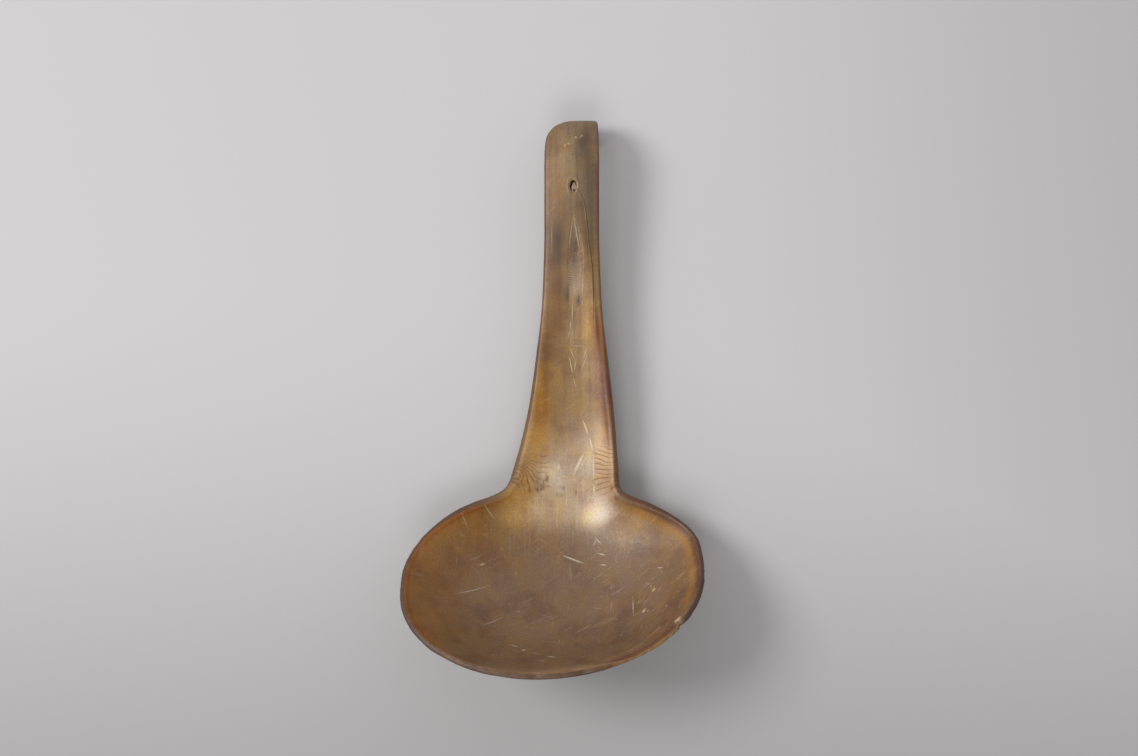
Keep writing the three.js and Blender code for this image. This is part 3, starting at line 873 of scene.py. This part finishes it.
def pull_rim(x, s):
    pull = rim_pull(x, s)
    out_x = (x - BOWL_OFFSET) / BOWL_HALF**2
    out_s = s / BOWL_FRONT_REACH**2
    length = np.hypot(out_x, out_s) + TINY
    return x - pull * out_x / length, s - pull * out_s / length


def snap_to_hole(x, s):
    """Marks the grid's cells inside the hole, and moves the places round them onto its outline."""
    rho = hole_radius(x, s)
    middle = (rho[:-1, :-1] + rho[1:, :-1] + rho[:-1, 1:] + rho[1:, 1:]) / 4
    gone = middle < 1
    beside = np.pad(gone, 1)
    cells = [beside[:-1, :-1], beside[:-1, 1:], beside[1:, :-1], beside[1:, 1:]]
    ring = np.any(cells, axis=0) & ~np.all(cells, axis=0)
    x = np.where(ring, HOLE_CENTRE + (x - HOLE_CENTRE) / rho, x)
    s = np.where(ring, HOLE_PLACE + (s - HOLE_PLACE) / rho, s)
    return x, s, gone


def narrowed(x, s):
    """Places of the lower face: round the hole they move inwards, so that the hole narrows to the peg."""
    share = 1 - ease(hole_radius(x, s), 1, NARROWING_REACH)
    peg_side = HOLE_WIDTH / 2 - PEG_CLEARANCE - PEG_WIDTH / 2
    across = x + share * (peg_side - NARROWING_ACROSS * (x - HOLE_CENTRE))
    return across, s - share * NARROWING_ALONG * (s - HOLE_PLACE)


def edge_loop(rows, columns):
    """Places on the sheet's edge, anticlockwise seen from above."""
    loop = [(row, 0) for row in range(rows - 1, 0, -1)]
    loop += [(0, column) for column in range(columns - 1)]
    loop += [(row, columns - 1) for row in range(rows - 1)]
    loop += [(rows - 1, column) for column in range(columns - 1, 0, -1)]
    return np.array(loop)


def lip_points(top, bottom):
    """Rings of points on the blunt edge, from the upper face to the lower one."""
    middle = (top + bottom) / 2
    half = top - middle
    outward = np.cross(np.roll(middle, -1, axis=0) - np.roll(middle, 1, axis=0), half)
    outward *= np.linalg.norm(half, axis=1, keepdims=True) / np.linalg.norm(outward, axis=1, keepdims=True)
    rings = []
    for step in range(1, LIP_STEPS):
        turn = pi * step / LIP_STEPS
        up = copysign(abs(cos(turn)) ** LIP_SQUARENESS, cos(turn))
        out = sin(turn) ** LIP_SQUARENESS
        rings.append(middle + half * up + outward * out)
    return rings


def hole_edges(gone):
    """Grid edges between a kept and a removed cell, each going round the hole with the hole on its left."""
    edges = []
    for row, column in zip(*np.nonzero(gone)):
        corners = [(row, column), (row, column + 1), (row + 1, column + 1), (row + 1, column)]
        beside = [(row - 1, column), (row, column + 1), (row + 1, column), (row, column - 1)]
        for side in range(4):
            if not gone[beside[side]]:
                edges.append((corners[side], corners[(side + 1) % 4]))
    return edges


class Sheet:
    """The fine mesh of horn. Every point keeps its place, x and s, and how far down it is: from 0 on the
    upper face to 1 on the lower one, and more than 2 in the wall of the hole."""

    def __init__(self):
        self.parts = []
        x, s, gone = snap_to_hole(*sheet_places())
        upper = hollow_point(x, s) + face_normal(x, s) * upper_detail(x, s)[..., None]
        low_x, low_s = narrowed(x, s)
        depth = thickness(low_x, low_s) + lower_detail(low_x, low_s)
        lower = hollow_point(low_x, low_s) - face_normal(low_x, low_s) * depth[..., None]
        top = self.add_points(upper, x, s, 0)
        bottom = self.add_points(lower, x, s, 1)
        corners = [top[:-1, :-1], top[:-1, 1:], top[1:, 1:], top[1:, :-1]]
        cells = np.stack([corner[~gone] for corner in corners], 1)

        edge = tuple(edge_loop(*x.shape).T)
        rings = [top[edge]]
        for step, points in enumerate(lip_points(upper[edge], lower[edge]), 1):
            rings.append(self.add_points(points, x[edge], s[edge], step / LIP_STEPS))
        rings.append(bottom[edge])
        order = np.arange(len(top[edge]))
        lip = face_bands(rings, order, np.roll(order, -1))

        places, ends = np.unique(np.reshape(hole_edges(gone), (-1, 2)), axis=0, return_inverse=True)
        first, second = ends.reshape(-1, 2).T
        wall = tuple(places.T)
        rings = [top[wall]]
        for share in np.arange(1, WALL_STEPS) / WALL_STEPS:
            points = mix(upper[wall], lower[wall], share)
            rings.append(self.add_points(points, x[wall], s[wall], IN_HOLE + share))
        rings.append(bottom[wall])
        turned_over = [band[:, [0, 3, 2, 1]] for band in face_bands(rings, first, second)]

        faces = np.concatenate([cells, cells[:, ::-1] + top.size] + lip + turned_over)
        table = np.concatenate(self.parts)
        used = np.zeros(len(table), bool)
        used[faces.ravel()] = True
        self.faces = (np.cumsum(used) - 1)[faces]
        self.points = table[used, :3]
        self.x, self.s, self.down = table[used, 3:].T
        self.rim = upper[edge]

    def add_points(self, points, x, s, down):
        """Keeps the points with their places, and gives their numbers."""
        start = sum(len(part) for part in self.parts)
        columns = [points.reshape(-1, 3), x.ravel(), s.ravel(), np.full(x.size, down)]
        self.parts.append(np.column_stack(columns))
        return start + np.arange(x.size).reshape(x.shape)


def face_bands(rings, first, second):
    """Faces between each ring of points and the next."""
    return [np.stack([a[first], b[first], b[second], a[second]], 1) for a, b in zip(rings, rings[1:])]


def rest_tilt(sheet):
    """Angle at which the bowl and the hook's tip stand on one level, and that level."""
    points = sheet.points
    is_hook = points[:, 1] > BOWL_BACK_REACH + HANDLE_LENGTH / 3

    def lowest(tilt, chosen):
        return (points[chosen, 2] * cos(tilt) - points[chosen, 1] * sin(tilt)).min()

    low, high = 0, TILT_LIMIT
    for _ in range(TILT_STEPS):
        tilt = (low + high) / 2
        if lowest(tilt, is_hook) > lowest(tilt, ~is_hook):
            low = tilt
        else:
            high = tilt
    return low, lowest(low, ~is_hook)


def stand_up(points, tilt, floor):
    """Turns the points to the rest on a table, with both flats at a height of 0."""
    y = points[:, 1] * cos(tilt) + points[:, 2] * sin(tilt)
    z = points[:, 2] * cos(tilt) - points[:, 1] * sin(tilt)
    return np.stack([points[:, 0], y, z - floor - WORN_FLAT], 1)


def add_object(name, data):
    piece = bpy.data.objects.new(name, data)
    bpy.context.scene.collection.objects.link(piece)
    return piece


def make_object(name, points, faces):
    mesh = bpy.data.meshes.new(name)
    mesh.vertices.add(len(points))
    mesh.vertices.foreach_set("co", (points * MM).astype(np.float32).ravel())
    mesh.loops.add(faces.size)
    mesh.loops.foreach_set("vertex_index", faces.astype(np.int32).ravel())
    mesh.polygons.add(len(faces))
    mesh.polygons.foreach_set("loop_start", np.arange(len(faces), dtype=np.int32) * faces.shape[1])
    mesh.polygons.foreach_set("use_smooth", np.ones(len(faces), bool))
    mesh.update(calc_edges=True)
    mesh.validate()
    return add_object(name, mesh)


def set_colour(mesh, name, colours, alpha=1.0):
    layer = mesh.attributes.new(name, "FLOAT_COLOR", "POINT")
    last = np.broadcast_to(alpha, len(colours))[:, None]
    layer.data.foreach_set("color", np.concatenate([colours, last], axis=1).astype(np.float32).ravel())


def set_vector(mesh, name, values):
    layer = mesh.attributes.new(name, "FLOAT_VECTOR", "POINT")
    layer.data.foreach_set("vector", values.astype(np.float32).ravel())


def linear(colour):
    """A colour written from 0 to 255 as the eye sees it, as light."""
    share = np.asarray(colour, float) / 255
    return np.where(share <= 0.04045, share / 12.92, ((share + 0.055) / 1.055) ** 2.4)


def rim_distance(sheet):
    """Distance of every point near the edge from the upper edge of the rim, and a large number elsewhere."""
    near = edge_share(sheet.x, sheet.s) > NEAR_RIM
    places = sheet.points[near][:, None]
    following = np.roll(sheet.rim, -1, axis=0)
    rim = np.concatenate([mix(sheet.rim, following, share) for share in (0, 0.25, 0.5, 0.75)])
    squares = np.full(len(places), np.inf)
    for part in np.array_split(rim, RIM_PARTS):
        squares = np.minimum(squares, ((places - part) ** 2).sum(-1).min(1))
    distance = np.full(len(sheet.points), FAR, float)
    distance[near] = np.sqrt(squares)
    return distance


def tint(tone, paint, share):
    *colour, strength = paint
    return mix(tone, linear(colour), strength * np.asarray(share)[:, None])


# Soft patches of tone, among them painted highlights, sheen and glow
def patch_and_painted_light_tones(tone, x, s):
    for px, ps, across, along, *paint in PATCHES_AND_PAINTED_LIGHT:
        tone = tint(tone, paint, np.exp(-(((x - px) / across) ** 2) - ((s - ps) / along) ** 2))
    return tone


def rim_tones_with_painted_light(tone, x, s, gap):
    """Gold, orange and brown bands round the bowl and along the right side of the handle: partly the horn's
    own colour, partly painted glow through the thin rim and, in brown on the right, painted shade.
    """
    turn = bearing(x, s)
    bowl = 1 - ease(s, *BOWL_BANDS_END)
    wander = 1 + uneven(turn, s, BAND_WANDER) * (bowl > 0)
    stretches = {
        "left": bowl * ease(-turn, *LEFT_BANDS_TURN),
        "right": bowl * ease(turn, *RIGHT_BANDS_TURN),
        "front": bowl * (1 - ease(np.abs(turn - FRONT_BANDS_MIDDLE), *FRONT_BANDS_TURN)),
        "handle": ease(s, *HANDLE_BANDS_START) * window(s, HANDLE_BANDS_ALONG) * (x > centre_line(s)),
    }
    for stretch, start, end, reach, *paint in RIM_BANDS_WITH_PAINTED_LIGHT:
        away = gap - clamp(gap, start, end)
        tone = tint(tone, paint, bump(away, reach * wander) * stretches[stretch])
    return tone


def bevel_tones(tone, x, s):
    along, down = bevel(x, s)
    for start, full, middle, reach, *paint in BEVEL_BANDS:
        tone = tint(tone, paint, along * ease(down, start, full) * bump(down - middle, reach))
    return tone


def grip_tones(tone, x, s):
    """The crack's dark line, painted shade in its groove, with its pale side, the chipped pale edge of the
    hole and the lens's edge.
    """
    fade = ease(s, *CRACK_PAINT_ALONG)
    pale_side = line_distance(x + CRACK_PALE_OFFSET, s, GRIP_CRACK)
    tone = tint(tone, CRACK_PALE, fade * bump(pale_side, CRACK_PALE_REACH))
    tone = tint(tone, CRACK_SHADE, fade * bump(line_distance(x, s, GRIP_CRACK), CRACK_SHADE_REACH))
    chipped = clamp(HOLE_RIM_WHOLE + uneven(x, s, HOLE_RIM_CHIPPED))
    right = mix(HOLE_RIM_LEFT_SHARE, 1, ease(x, *HOLE_RIM_RIGHT))
    tone = tint(tone, HOLE_RIM, chipped * right * band(hole_distance(x, s), HOLE_RIM_BAND))
    pale = band(lens_share(x, s), LENS_EDGE_BAND) * ease(s, *LENS_PAINT_ALONG)
    return tint(tone, LENS_PALE, pale * (np.abs(s - HOLE_PLACE) > LENS_PAINT_FROM_HOLE))


def spot_tones(tone, x, s):
    ragged = 1 + uneven(x, s, SPOT_RAGGED)
    for px, ps, radius in SPOTS:
        tone = tint(tone, SPOT_DARK, bump(np.hypot(x - px, s - ps) * ragged, SPOT_SOFTNESS * radius))
    return tone


def chip_tones(tone, x, s):
    ragged = 1 + uneven(x, s, CHIP_RAGGED)
    for px, ps, long, wide, turn in CHIPS:
        a = radians(turn)
        u = (x - px) * cos(a) + (s - ps) * sin(a)
        v = (s - ps) * cos(a) - (x - px) * sin(a)
        tone = tint(tone, CHIP_WHITE, 1 - ease(np.hypot(u / long, v / wide) * ragged, *CHIP_EDGE))
    return tone


def lip_tones(tone, x, s, down):
    """The cut edge: mauve grey on the left, brown on the right, yellow on the flaked stretch, and in the
    middle of the front dark below a pale line."""
    turn = bearing(x, s)
    right = x > centre_line(s)
    on_lip = ease(down, *LIP_DOWN) * (down < 1)
    bowl = 1 - ease(s, *LIP_BOWL_END)
    tone = tint(tone, LIP_MAUVE, on_lip * bowl)
    tone = tint(tone, LIP_BROWN, on_lip * right * bowl * ease(s, *LIP_BROWN_ALONG))
    cut = ease(down, *HANDLE_EDGE_DOWN) * (down < 1) * (1 - bowl)
    tone = tint(tone, HANDLE_LEFT_EDGE, cut * ~right)
    # partly painted shade on the right edge, which is turned away from the lamp
    tone = tint(tone, HANDLE_RIGHT_EDGE, cut * right)
    flaked = window(turn, LIP_YELLOW_TURN) * (s < 0)
    tone = tint(tone, LIP_YELLOW, on_lip * flaked)
    front = (1 - ease(np.abs(turn - LIP_FRONT_MIDDLE), *LIP_FRONT_TURN)) * (s < 0)
    tone = tint(tone, LIP_UNDER, on_lip * front * (1 - flaked))
    return tint(tone, LIP_PALE, ease(down, *LIP_PALE_DOWN) * band(down, LIP_PALE_BAND) * front)


def horn_tones(sheet):
    x, s = sheet.x, sheet.s
    tone = np.tile(linear(BOWL_PAINT), (len(x), 1))
    for paint, along in HANDLE_PAINTS:
        tone = tint(tone, paint, window(s, along))
    upper = rim_tones_with_painted_light(patch_and_painted_light_tones(tone, x, s), x, s, rim_distance(sheet))
    for paint_marks in (bevel_tones, grip_tones, spot_tones, chip_tones):
        upper = paint_marks(upper, x, s)
    under = tint(tone, UNDER_PAINT, 1 - ease(s, *UNDER_FADE_ALONG))
    under = under * (1 + uneven(x, s, UNDER_MOTTLED))[:, None]
    tone = np.where(sheet.down[:, None] > HALFWAY_DOWN, under, upper)
    return tint(lip_tones(tone, x, s, sheet.down), HOLE_BROWN, sheet.down > IN_HOLE)


class Nodes:
    """Short names for the steps of building a material. They give back sockets to join the next step to."""

    def __init__(self, tree):
        self.tree = tree

    def new(self, kind, settings):
        node = self.tree.nodes.new("ShaderNode" + kind)
        for key, value in settings.items():
            setattr(node, key, value)
        return node

    def add(self, kind, settings=None, **inputs):
        node = self.new(kind, settings or {})
        for key, value in inputs.items():
            self.put(node.inputs[key], value)
        return node.outputs

    def put(self, socket, value):
        if isinstance(value, bpy.types.NodeSocket):
            self.tree.links.new(value, socket)
        else:
            socket.default_value = value

    def attribute(self, name):
        return self.add("Attribute", {"attribute_name": name})

    def in_order(self, kind, settings, values):
        node = self.new(kind, settings)
        for socket, value in zip(node.inputs, values):
            self.put(socket, value)
        return node.outputs[0]

    def math(self, operation, *values, clamp_it=False):
        return self.in_order("Math", {"operation": operation, "use_clamp": clamp_it}, values)

    def times(self, a, b):
        return self.math("MULTIPLY", a, b)

    def vector(self, operation, *values):
        return self.in_order("VectorMath", {"operation": operation}, values)

    def noise(self, place, pattern):
        scale, detail, roughness = pattern
        return self.add("TexNoise", Vector=place, Scale=scale, Detail=detail, Roughness=roughness)["Fac"]

    def pattern(self, place, pattern):
        return self.spread(self.noise(place, pattern[:3]), *pattern[3:])

    def spread(self, value, low, high, out_low=0, out_high=1):
        values = (value, low, high, out_low, out_high)
        return self.in_order("MapRange", {"interpolation_type": "SMOOTHSTEP"}, values)

    def blend(self, a, b, share, way="MIX"):
        node = self.new("Mix", {"data_type": "RGBA", "blend_type": way})
        for socket, value in zip(COLOUR_MIX_INPUTS, (share, a, b)):
            self.put(node.inputs[socket], value)
        return node.outputs[COLOUR_MIX_OUTPUT]


def make_material(name, look):
    """A material with the shader's inputs that a function gives by name."""
    material = bpy.data.materials.new(name)
    material.use_nodes = True
    n = Nodes(material.node_tree)
    shader = n.tree.nodes["Principled BSDF"]
    for key, value in look(n).items():
        n.put(shader.inputs[key], value)
    return material


def scratch_share(n, place):
    """Thin streaks, widest in the middle and pointed at both ends."""
    rows = list(SCRATCHES)
    for x, s, turn in SMALL_MARKS:
        end = (x + SMALL_MARK_LENGTH * cos(turn), s + SMALL_MARK_LENGTH * sin(turn))
        rows.append((x, s, *end, SMALL_MARK_HALF, SMALL_MARK_STRENGTH))
    total = 0
    for x0, s0, x1, s1, width, strength in rows:
        streak = n.add(
            "Mapping",
            {"vector_type": "TEXTURE"},
            Vector=place,
            Location=((x0 + x1) / 2, (s0 + s1) / 2, 0),
            Rotation=(0, 0, atan2(s1 - s0, x1 - x0)),
            Scale=(hypot(x1 - x0, s1 - s0) / 2, SCRATCH_SOFTNESS * width, 1),
        )
        ball = n.add("TexGradient", {"gradient_type": "SPHERICAL"}, Vector=streak["Vector"])
        total = n.math("MAXIMUM", total, n.times(ball["Fac"], SCRATCH_GAIN * strength))
    return n.times(n.math("MINIMUM", total, SCRATCH_LIMIT), n.pattern(place, SCRATCH_BROKEN))


def hairlines(n, place):
    """Faint straight lines in three directions, in patches."""
    total = 0
    for degrees, offset, scale, start, full in HAIRLINES:
        turned = n.add(
            "VectorRotate",
            {"rotation_type": "Z_AXIS"},
            Vector=n.vector("ADD", place, (offset, 0, offset)),
            Angle=radians(-degrees),
        )
        stretched = n.vector("MULTIPLY", turned["Vector"], HAIR_STRETCH)
        lines = n.spread(n.noise(stretched, (scale, *HAIR_NOISE)), start, full)
        patches = n.pattern(n.vector("ADD", place, (0, offset, 0)), HAIR_PATCHES)
        total = n.math("ADD", total, n.times(lines, patches), clamp_it=True)
    return total


def specks(n, place, scale, radius, chosen):
    """Small dots, one in some of the cells."""
    cells = n.add("TexVoronoi", Vector=place, Scale=scale)
    random = n.add("SeparateColor", Color=cells["Color"])[0]
    dots = n.spread(cells["Distance"], SPECK_CORE * radius * scale, radius * scale, 1, 0)
    return n.times(dots, n.math("LESS_THAN", random, chosen))


def fold_lines(n, masks):
    """Fine dark lines, painted shade along the bottoms of the wrinkles and of the scraping marks."""
    phases = n.add("SeparateXYZ", Vector=n.attribute("folds")["Vector"])
    total = 0
    for phase, mask in zip(phases, n.add("SeparateColor", Color=masks)):
        line = n.spread(n.math("PINGPONG", phase, 0.5), *FOLD_LINE_SPREAD)
        total = n.math("MAXIMUM", total, n.times(line, mask))
    return total


def horn_look(n):
    place = n.attribute("place")["Vector"]
    marks = n.attribute("marks")
    fibrous, scratched, rough = n.add("SeparateColor", Color=n.attribute("wear")["Color"])
    folds = fold_lines(n, marks["Color"])
    olive = n.pattern(n.vector("ADD", place, OLIVE_PLACE), OLIVE)
    mottle = n.noise(place, MOTTLE)
    fibres = n.noise(n.vector("MULTIPLY", place, FIBRES_STRETCH), FIBRES)
    sheen_streaks = n.pattern(n.vector("MULTIPLY", place, SHEEN_STREAKS_STRETCH), SHEEN_STREAKS)
    sheen = n.times(marks["Alpha"], SHEEN_STREAKS_STRENGTH)
    grains = n.math("MAXIMUM", specks(n, place, *COARSE_GRAINS), specks(n, place, *FINE_GRAINS))
    pits = specks(n, n.vector("ADD", place, PITS_PLACE), *PITS)
    layers = (
        (CLOUD_MAUVE, n.pattern(place, CLOUDS), "MULTIPLY"),
        (CLOUD_OLIVE, olive, "MULTIPLY"),
        (MOTTLE_DARK, n.spread(mottle, *MOTTLE_SPREAD), "MULTIPLY"),
        (FIBRE_DARK, n.times(n.spread(fibres, *FIBRES_SPREAD), fibrous), "MULTIPLY"),
        # painted sheen: whitish streaks on the neck
        (SHEEN_STREAK_PALE, n.times(sheen_streaks, sheen), "MIX"),
        # painted shade in the creases of the wrinkles and of the scraping marks
        (FOLD_SHADE, n.times(folds, FOLD_STRENGTH), "MULTIPLY"),
        (SCRATCH_PALE, n.times(n.times(hairlines(n, place), scratched), HAIR_STRENGTH), "MIX"),
        (SCRATCH_PALE, n.times(grains, n.times(scratched, GRAIN_STRENGTH)), "MIX"),
        (PIT_DARK, n.times(pits, PIT_STRENGTH), "MULTIPLY"),
        (SCRATCH_PALE, scratch_share(n, place), "MIX"),
    )
    base = n.attribute("tone")["Color"]
    for colour, share, way in layers:
        base = n.blend(base, colour, share, way)
    rough = n.math("ADD", rough, n.pattern(place, GLOSS))
    relief = n.math("MULTIPLY_ADD", fibres, FIBRE_RELIEF, n.times(mottle, MOTTLE_RELIEF))
    relief = n.math("MULTIPLY_ADD", folds, FOLD_RELIEF, relief)
    raised = n.add("Bump", Height=relief, Strength=RELIEF_STRENGTH, Distance=RELIEF_HEIGHT)
    return {"Base Color": base, "Roughness": rough, "Normal": raised["Normal"]}


def peg_look(n):
    place = n.add("TexCoord")["Object"]
    grain = n.noise(n.vector("MULTIPLY", place, PEG_STRETCH), PEG_GRAIN)
    base = n.blend(PEG_PALE, PEG_DARK, n.spread(grain, *PEG_COLOUR_SPREAD))
    return {"Base Color": base, "Roughness": n.spread(grain, *PEG_ROUGH_SPREAD)}


def neck_sheen(x, s):
    """Where the painted sheen lies as whitish streaks on the worn and folded horn, which is also smoother and
    more scratched there: most in the middle of the neck.
    """
    across = np.abs(x - centre_line(s)) / half_width(s)
    return band(s, SHEEN_BAND) * (1 - ease(across, *SHEEN_SIDE))


def horn_wear(sheet):
    """How fibrous, how scratched and how rough each place is."""
    x, s = sheet.x, sheet.s
    handle = ease(s, *HANDLE_WEAR_ALONG)
    neck = neck_sheen(x, s)
    fibrous = FIBROUS_BOWL + FIBROUS_HANDLE * handle
    right = np.hypot((x - SCRATCHED_X) / SCRATCHED_STRETCH, s - SCRATCHED_S)
    scratched = SCRATCHED_BOWL + SCRATCHED_RIGHT * bump(right, SCRATCHED_REACH) + SCRATCHED_NECK * neck
    scratched = scratched * (1 - SCRATCHED_HANDLE_LOSS * handle)
    scratched = scratched + SCRATCHED_LAMINA * handle * lens_share(x, s)
    rough = ROUGH - ROUGH_NECK_LOSS * neck - ROUGH_HANDLE_LOSS * handle
    rough = rough + ROUGH_GRIP * ease(s, *GRIP_WEAR_ALONG)
    upper = sheet.down < HALFWAY_DOWN
    return clamp(np.stack([fibrous, scratched * upper, np.where(upper, rough, ROUGH)], 1))


def make_horn():
    sheet = Sheet()
    x, s = sheet.x, sheet.s
    points = stand_up(sheet.points, *rest_tilt(sheet))
    low, high = np.array(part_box("horn_body")) / MM
    points[:, :2] += ((low + high) / 2 - (points.min(0) + points.max(0)) / 2)[:2]
    points[:, 2] = np.maximum(points[:, 2], 0)
    horn = make_object("horn_sheet", points, sheet.faces)
    upper = sheet.down < HALFWAY_DOWN
    set_vector(horn.data, "place", np.stack([x, s, PATTERN_DEPTH * clamp(sheet.down)], 1))
    set_colour(horn.data, "tone", horn_tones(sheet))
    set_colour(horn.data, "wear", horn_wear(sheet))
    set_vector(horn.data, "folds", fold_phases(x, s))
    # Shares of the fold lines, and last the share of painted sheen on the neck
    set_colour(horn.data, "marks", fold_masks(x, s) * upper[:, None], neck_sheen(x, s))
    horn.data.materials.append(make_material("horn_polished", horn_look))
    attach(horn, "root")
    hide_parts("horn_body")


def add_lamp(name, place, size, power):
    data = bpy.data.lights.new(name, "AREA")
    data.shape = "DISK"
    data.size = size
    data.energy = power
    lamp = add_object(name, data)
    lamp.location = place
    way = Vector(np.array(LAMP_AIM) - np.array(place))
    lamp.rotation_euler = way.to_track_quat("-Z", "Y").to_euler()


def make_world():
    """A soft surround, brighter in front of the bowl and on the left. Seen directly it is plain and pale."""
    world = bpy.data.worlds.new("studio")
    world.use_nodes = True
    bpy.context.scene.world = world
    n = Nodes(world.node_tree)
    way = n.add("SeparateXYZ", Vector=n.add("TexCoord")["Generated"])
    front = n.spread(way["Y"], *WORLD_FRONT_SPAN, *WORLD_FRONT_TO_BACK)
    left = n.spread(way["X"], *WORLD_SIDE_SPAN, *WORLD_LEFT_TO_RIGHT)
    seen = n.add("LightPath")["Is Camera Ray"]
    background = n.tree.nodes["Background"]
    n.put(background.inputs["Color"], (1, 1, 1, 1))
    n.put(background.inputs["Strength"], n.spread(seen, 0, 1, n.times(front, left), BACKDROP_STRENGTH))


def paper_look(n):
    place = n.add("SeparateXYZ", Vector=n.add("NewGeometry")["Position"])
    # painted shade: greyer towards the front and the right
    grey = n.math("MAXIMUM", n.spread(place["Y"], *PAPER_SHADE_FRONT), n.spread(place["X"], *PAPER_SHADE_RIGHT))
    return {"Base Color": n.blend(PAPER_PALE, PAPER_SHADE, grey), "Roughness": PAPER_ROUGHNESS}


def make_floor():
    """Plain pale paper, with painted shade that makes it greyer towards the front and the right."""
    corners = PAPER_HALF_SIZE / MM * np.array([(-1, -1, 0), (1, -1, 0), (1, 1, 0), (-1, 1, 0)])
    floor = make_object("floor", corners, np.array([(0, 1, 2, 3)]))
    floor.data.materials.append(make_material("paper", paper_look))


def make_camera():
    data = bpy.data.cameras.new("camera")
    data.lens = CAMERA_LENS
    data.sensor_width = CAMERA_SENSOR
    data.clip_start = CAMERA_NEAR
    camera = add_object("camera", data)
    camera.location = CAMERA_PLACE
    camera.rotation_euler = (CAMERA_TILT, 0, 0)
    bpy.context.scene.camera = camera


make_horn()
peg_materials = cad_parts["hole_peg"].data.materials
peg_materials.clear()
peg_materials.append(make_material("peg_wood", peg_look))
make_floor()
make_world()
for lamp_name, lamp_place, lamp_size, lamp_power in LAMPS:
    add_lamp(lamp_name, lamp_place, lamp_size, lamp_power)
make_camera()
bpy.context.scene.view_settings.view_transform = "Standard"
